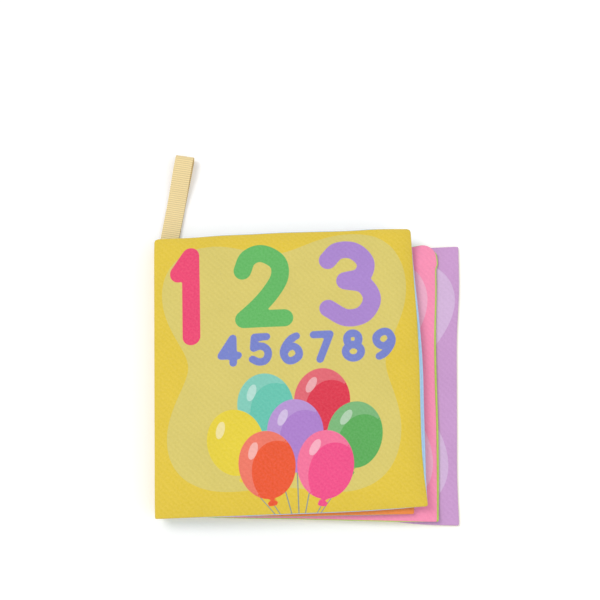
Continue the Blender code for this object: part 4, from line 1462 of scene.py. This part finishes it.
CAMERA_AZIMUTH = math.radians(-2.13)
CAMERA_ELEVATION = math.radians(73.0)
CAMERA_DISTANCE = 675.0 * MM
CAMERA_TARGET = Vector((0.15 * MM, 42.90 * MM, 0.0))
CAMERA_LENS = 73.68
CAMERA_SENSOR_WIDTH = 36.0


def make_camera():
    camera = bpy.data.objects.new("camera", bpy.data.cameras.new("camera"))
    bpy.context.scene.collection.objects.link(camera)
    back = Vector((
        math.sin(CAMERA_AZIMUTH) * math.cos(CAMERA_ELEVATION),
        -math.cos(CAMERA_AZIMUTH) * math.cos(CAMERA_ELEVATION),
        math.sin(CAMERA_ELEVATION),
    ))
    camera.location = CAMERA_TARGET + back * CAMERA_DISTANCE
    camera.rotation_mode = "QUATERNION"
    camera.rotation_quaternion = (-back).to_track_quat("-Z", "Y")
    camera.data.sensor_width = CAMERA_SENSOR_WIDTH
    camera.data.lens = CAMERA_LENS
    bpy.context.scene.camera = camera


def seen_socket(tree):
    """1 for rays by which a surface is seen, also in or through another, and 0 for those that light it."""
    path = add_node(tree, "ShaderNodeLightPath", {}, {})
    mirrored = add_node(tree, "ShaderNodeMath", {"operation": "MAXIMUM"},
                        {0: path.outputs["Is Glossy Ray"], 1: path.outputs["Is Transmission Ray"]})
    seen = add_node(tree, "ShaderNodeMath", {"operation": "MAXIMUM"},
                    {0: path.outputs["Is Camera Ray"], 1: mirrored.outputs[0]})
    return seen.outputs[0]


# The floor is so wide that no view shows its edge, and glows a little where it is seen.
FLOOR_HALF_SIZE = 3000.0 * MM
FLOOR_GREY = "F6F6F6"
FLOOR_GLOW = 0.12


def make_floor():
    """A pale floor, seen as white, which keeps the book's shadow."""
    mesh = bmesh.new()
    bmesh.ops.create_grid(mesh, x_segments=1, y_segments=1, size=FLOOR_HALF_SIZE)
    data = bpy.data.meshes.new("floor")
    mesh.to_mesh(data)
    mesh.free()
    material, tree, shader = new_material("pale_floor")
    glow = add_node(tree, "ShaderNodeMath", {"operation": "MULTIPLY"}, {0: seen_socket(tree), 1: FLOOR_GLOW})
    tree.links.new(glow.outputs[0], shader.inputs["Emission Strength"])
    shader.inputs["Emission Color"].default_value = linear(WHITE)
    shader.inputs["Base Color"].default_value = linear(FLOOR_GREY)
    shader.inputs["Roughness"].default_value = 0.9
    shader.inputs["Specular IOR Level"].default_value = 0.1
    data.materials.append(material)
    floor = add_piece(data)


ROOM_LIGHT = 0.66

# The large lamps: where each shines from, how wide it looks in degrees, and how strong it is.
SOFTBOXES = {
    "key_softbox": (Vector((-0.5, 0.25, 1.0)), 25, 1.04),
    "fill_softbox": (Vector((0.6, -0.5, 0.9)), 50, 0.50),
}


def add_far_softbox(name, comes_from, spread, strength):
    """A large lamp so far off that it lights the whole book evenly."""
    lamp = bpy.data.lights.new(name, "SUN")
    lamp.angle = math.radians(spread)
    lamp.energy = strength
    obj = bpy.data.objects.new(name, lamp)
    bpy.context.scene.collection.objects.link(obj)
    obj.location = comes_from
    obj.rotation_mode = "QUATERNION"
    obj.rotation_quaternion = (-comes_from).to_track_quat("-Z", "Y")


def make_lights():
    """A soft white room, which is seen as plain white, and two large lamps."""
    world = bpy.data.worlds.new("soft_room")
    bpy.context.scene.world = world
    world.use_nodes = True
    tree = world.node_tree
    background = tree.nodes["Background"]
    background.inputs["Color"].default_value = linear(WHITE)
    glow = add_node(tree, "ShaderNodeMath", {"operation": "MULTIPLY_ADD"},
                    {0: seen_socket(tree), 1: 1 - ROOM_LIGHT, 2: ROOM_LIGHT})
    tree.links.new(glow.outputs[0], background.inputs["Strength"])
    for name, (comes_from, spread, strength) in SOFTBOXES.items():
        add_far_softbox(name, comes_from, spread, strength)


main()
make_camera()
make_floor()
make_lights()
bpy.context.scene.view_settings.view_transform = "Standard"
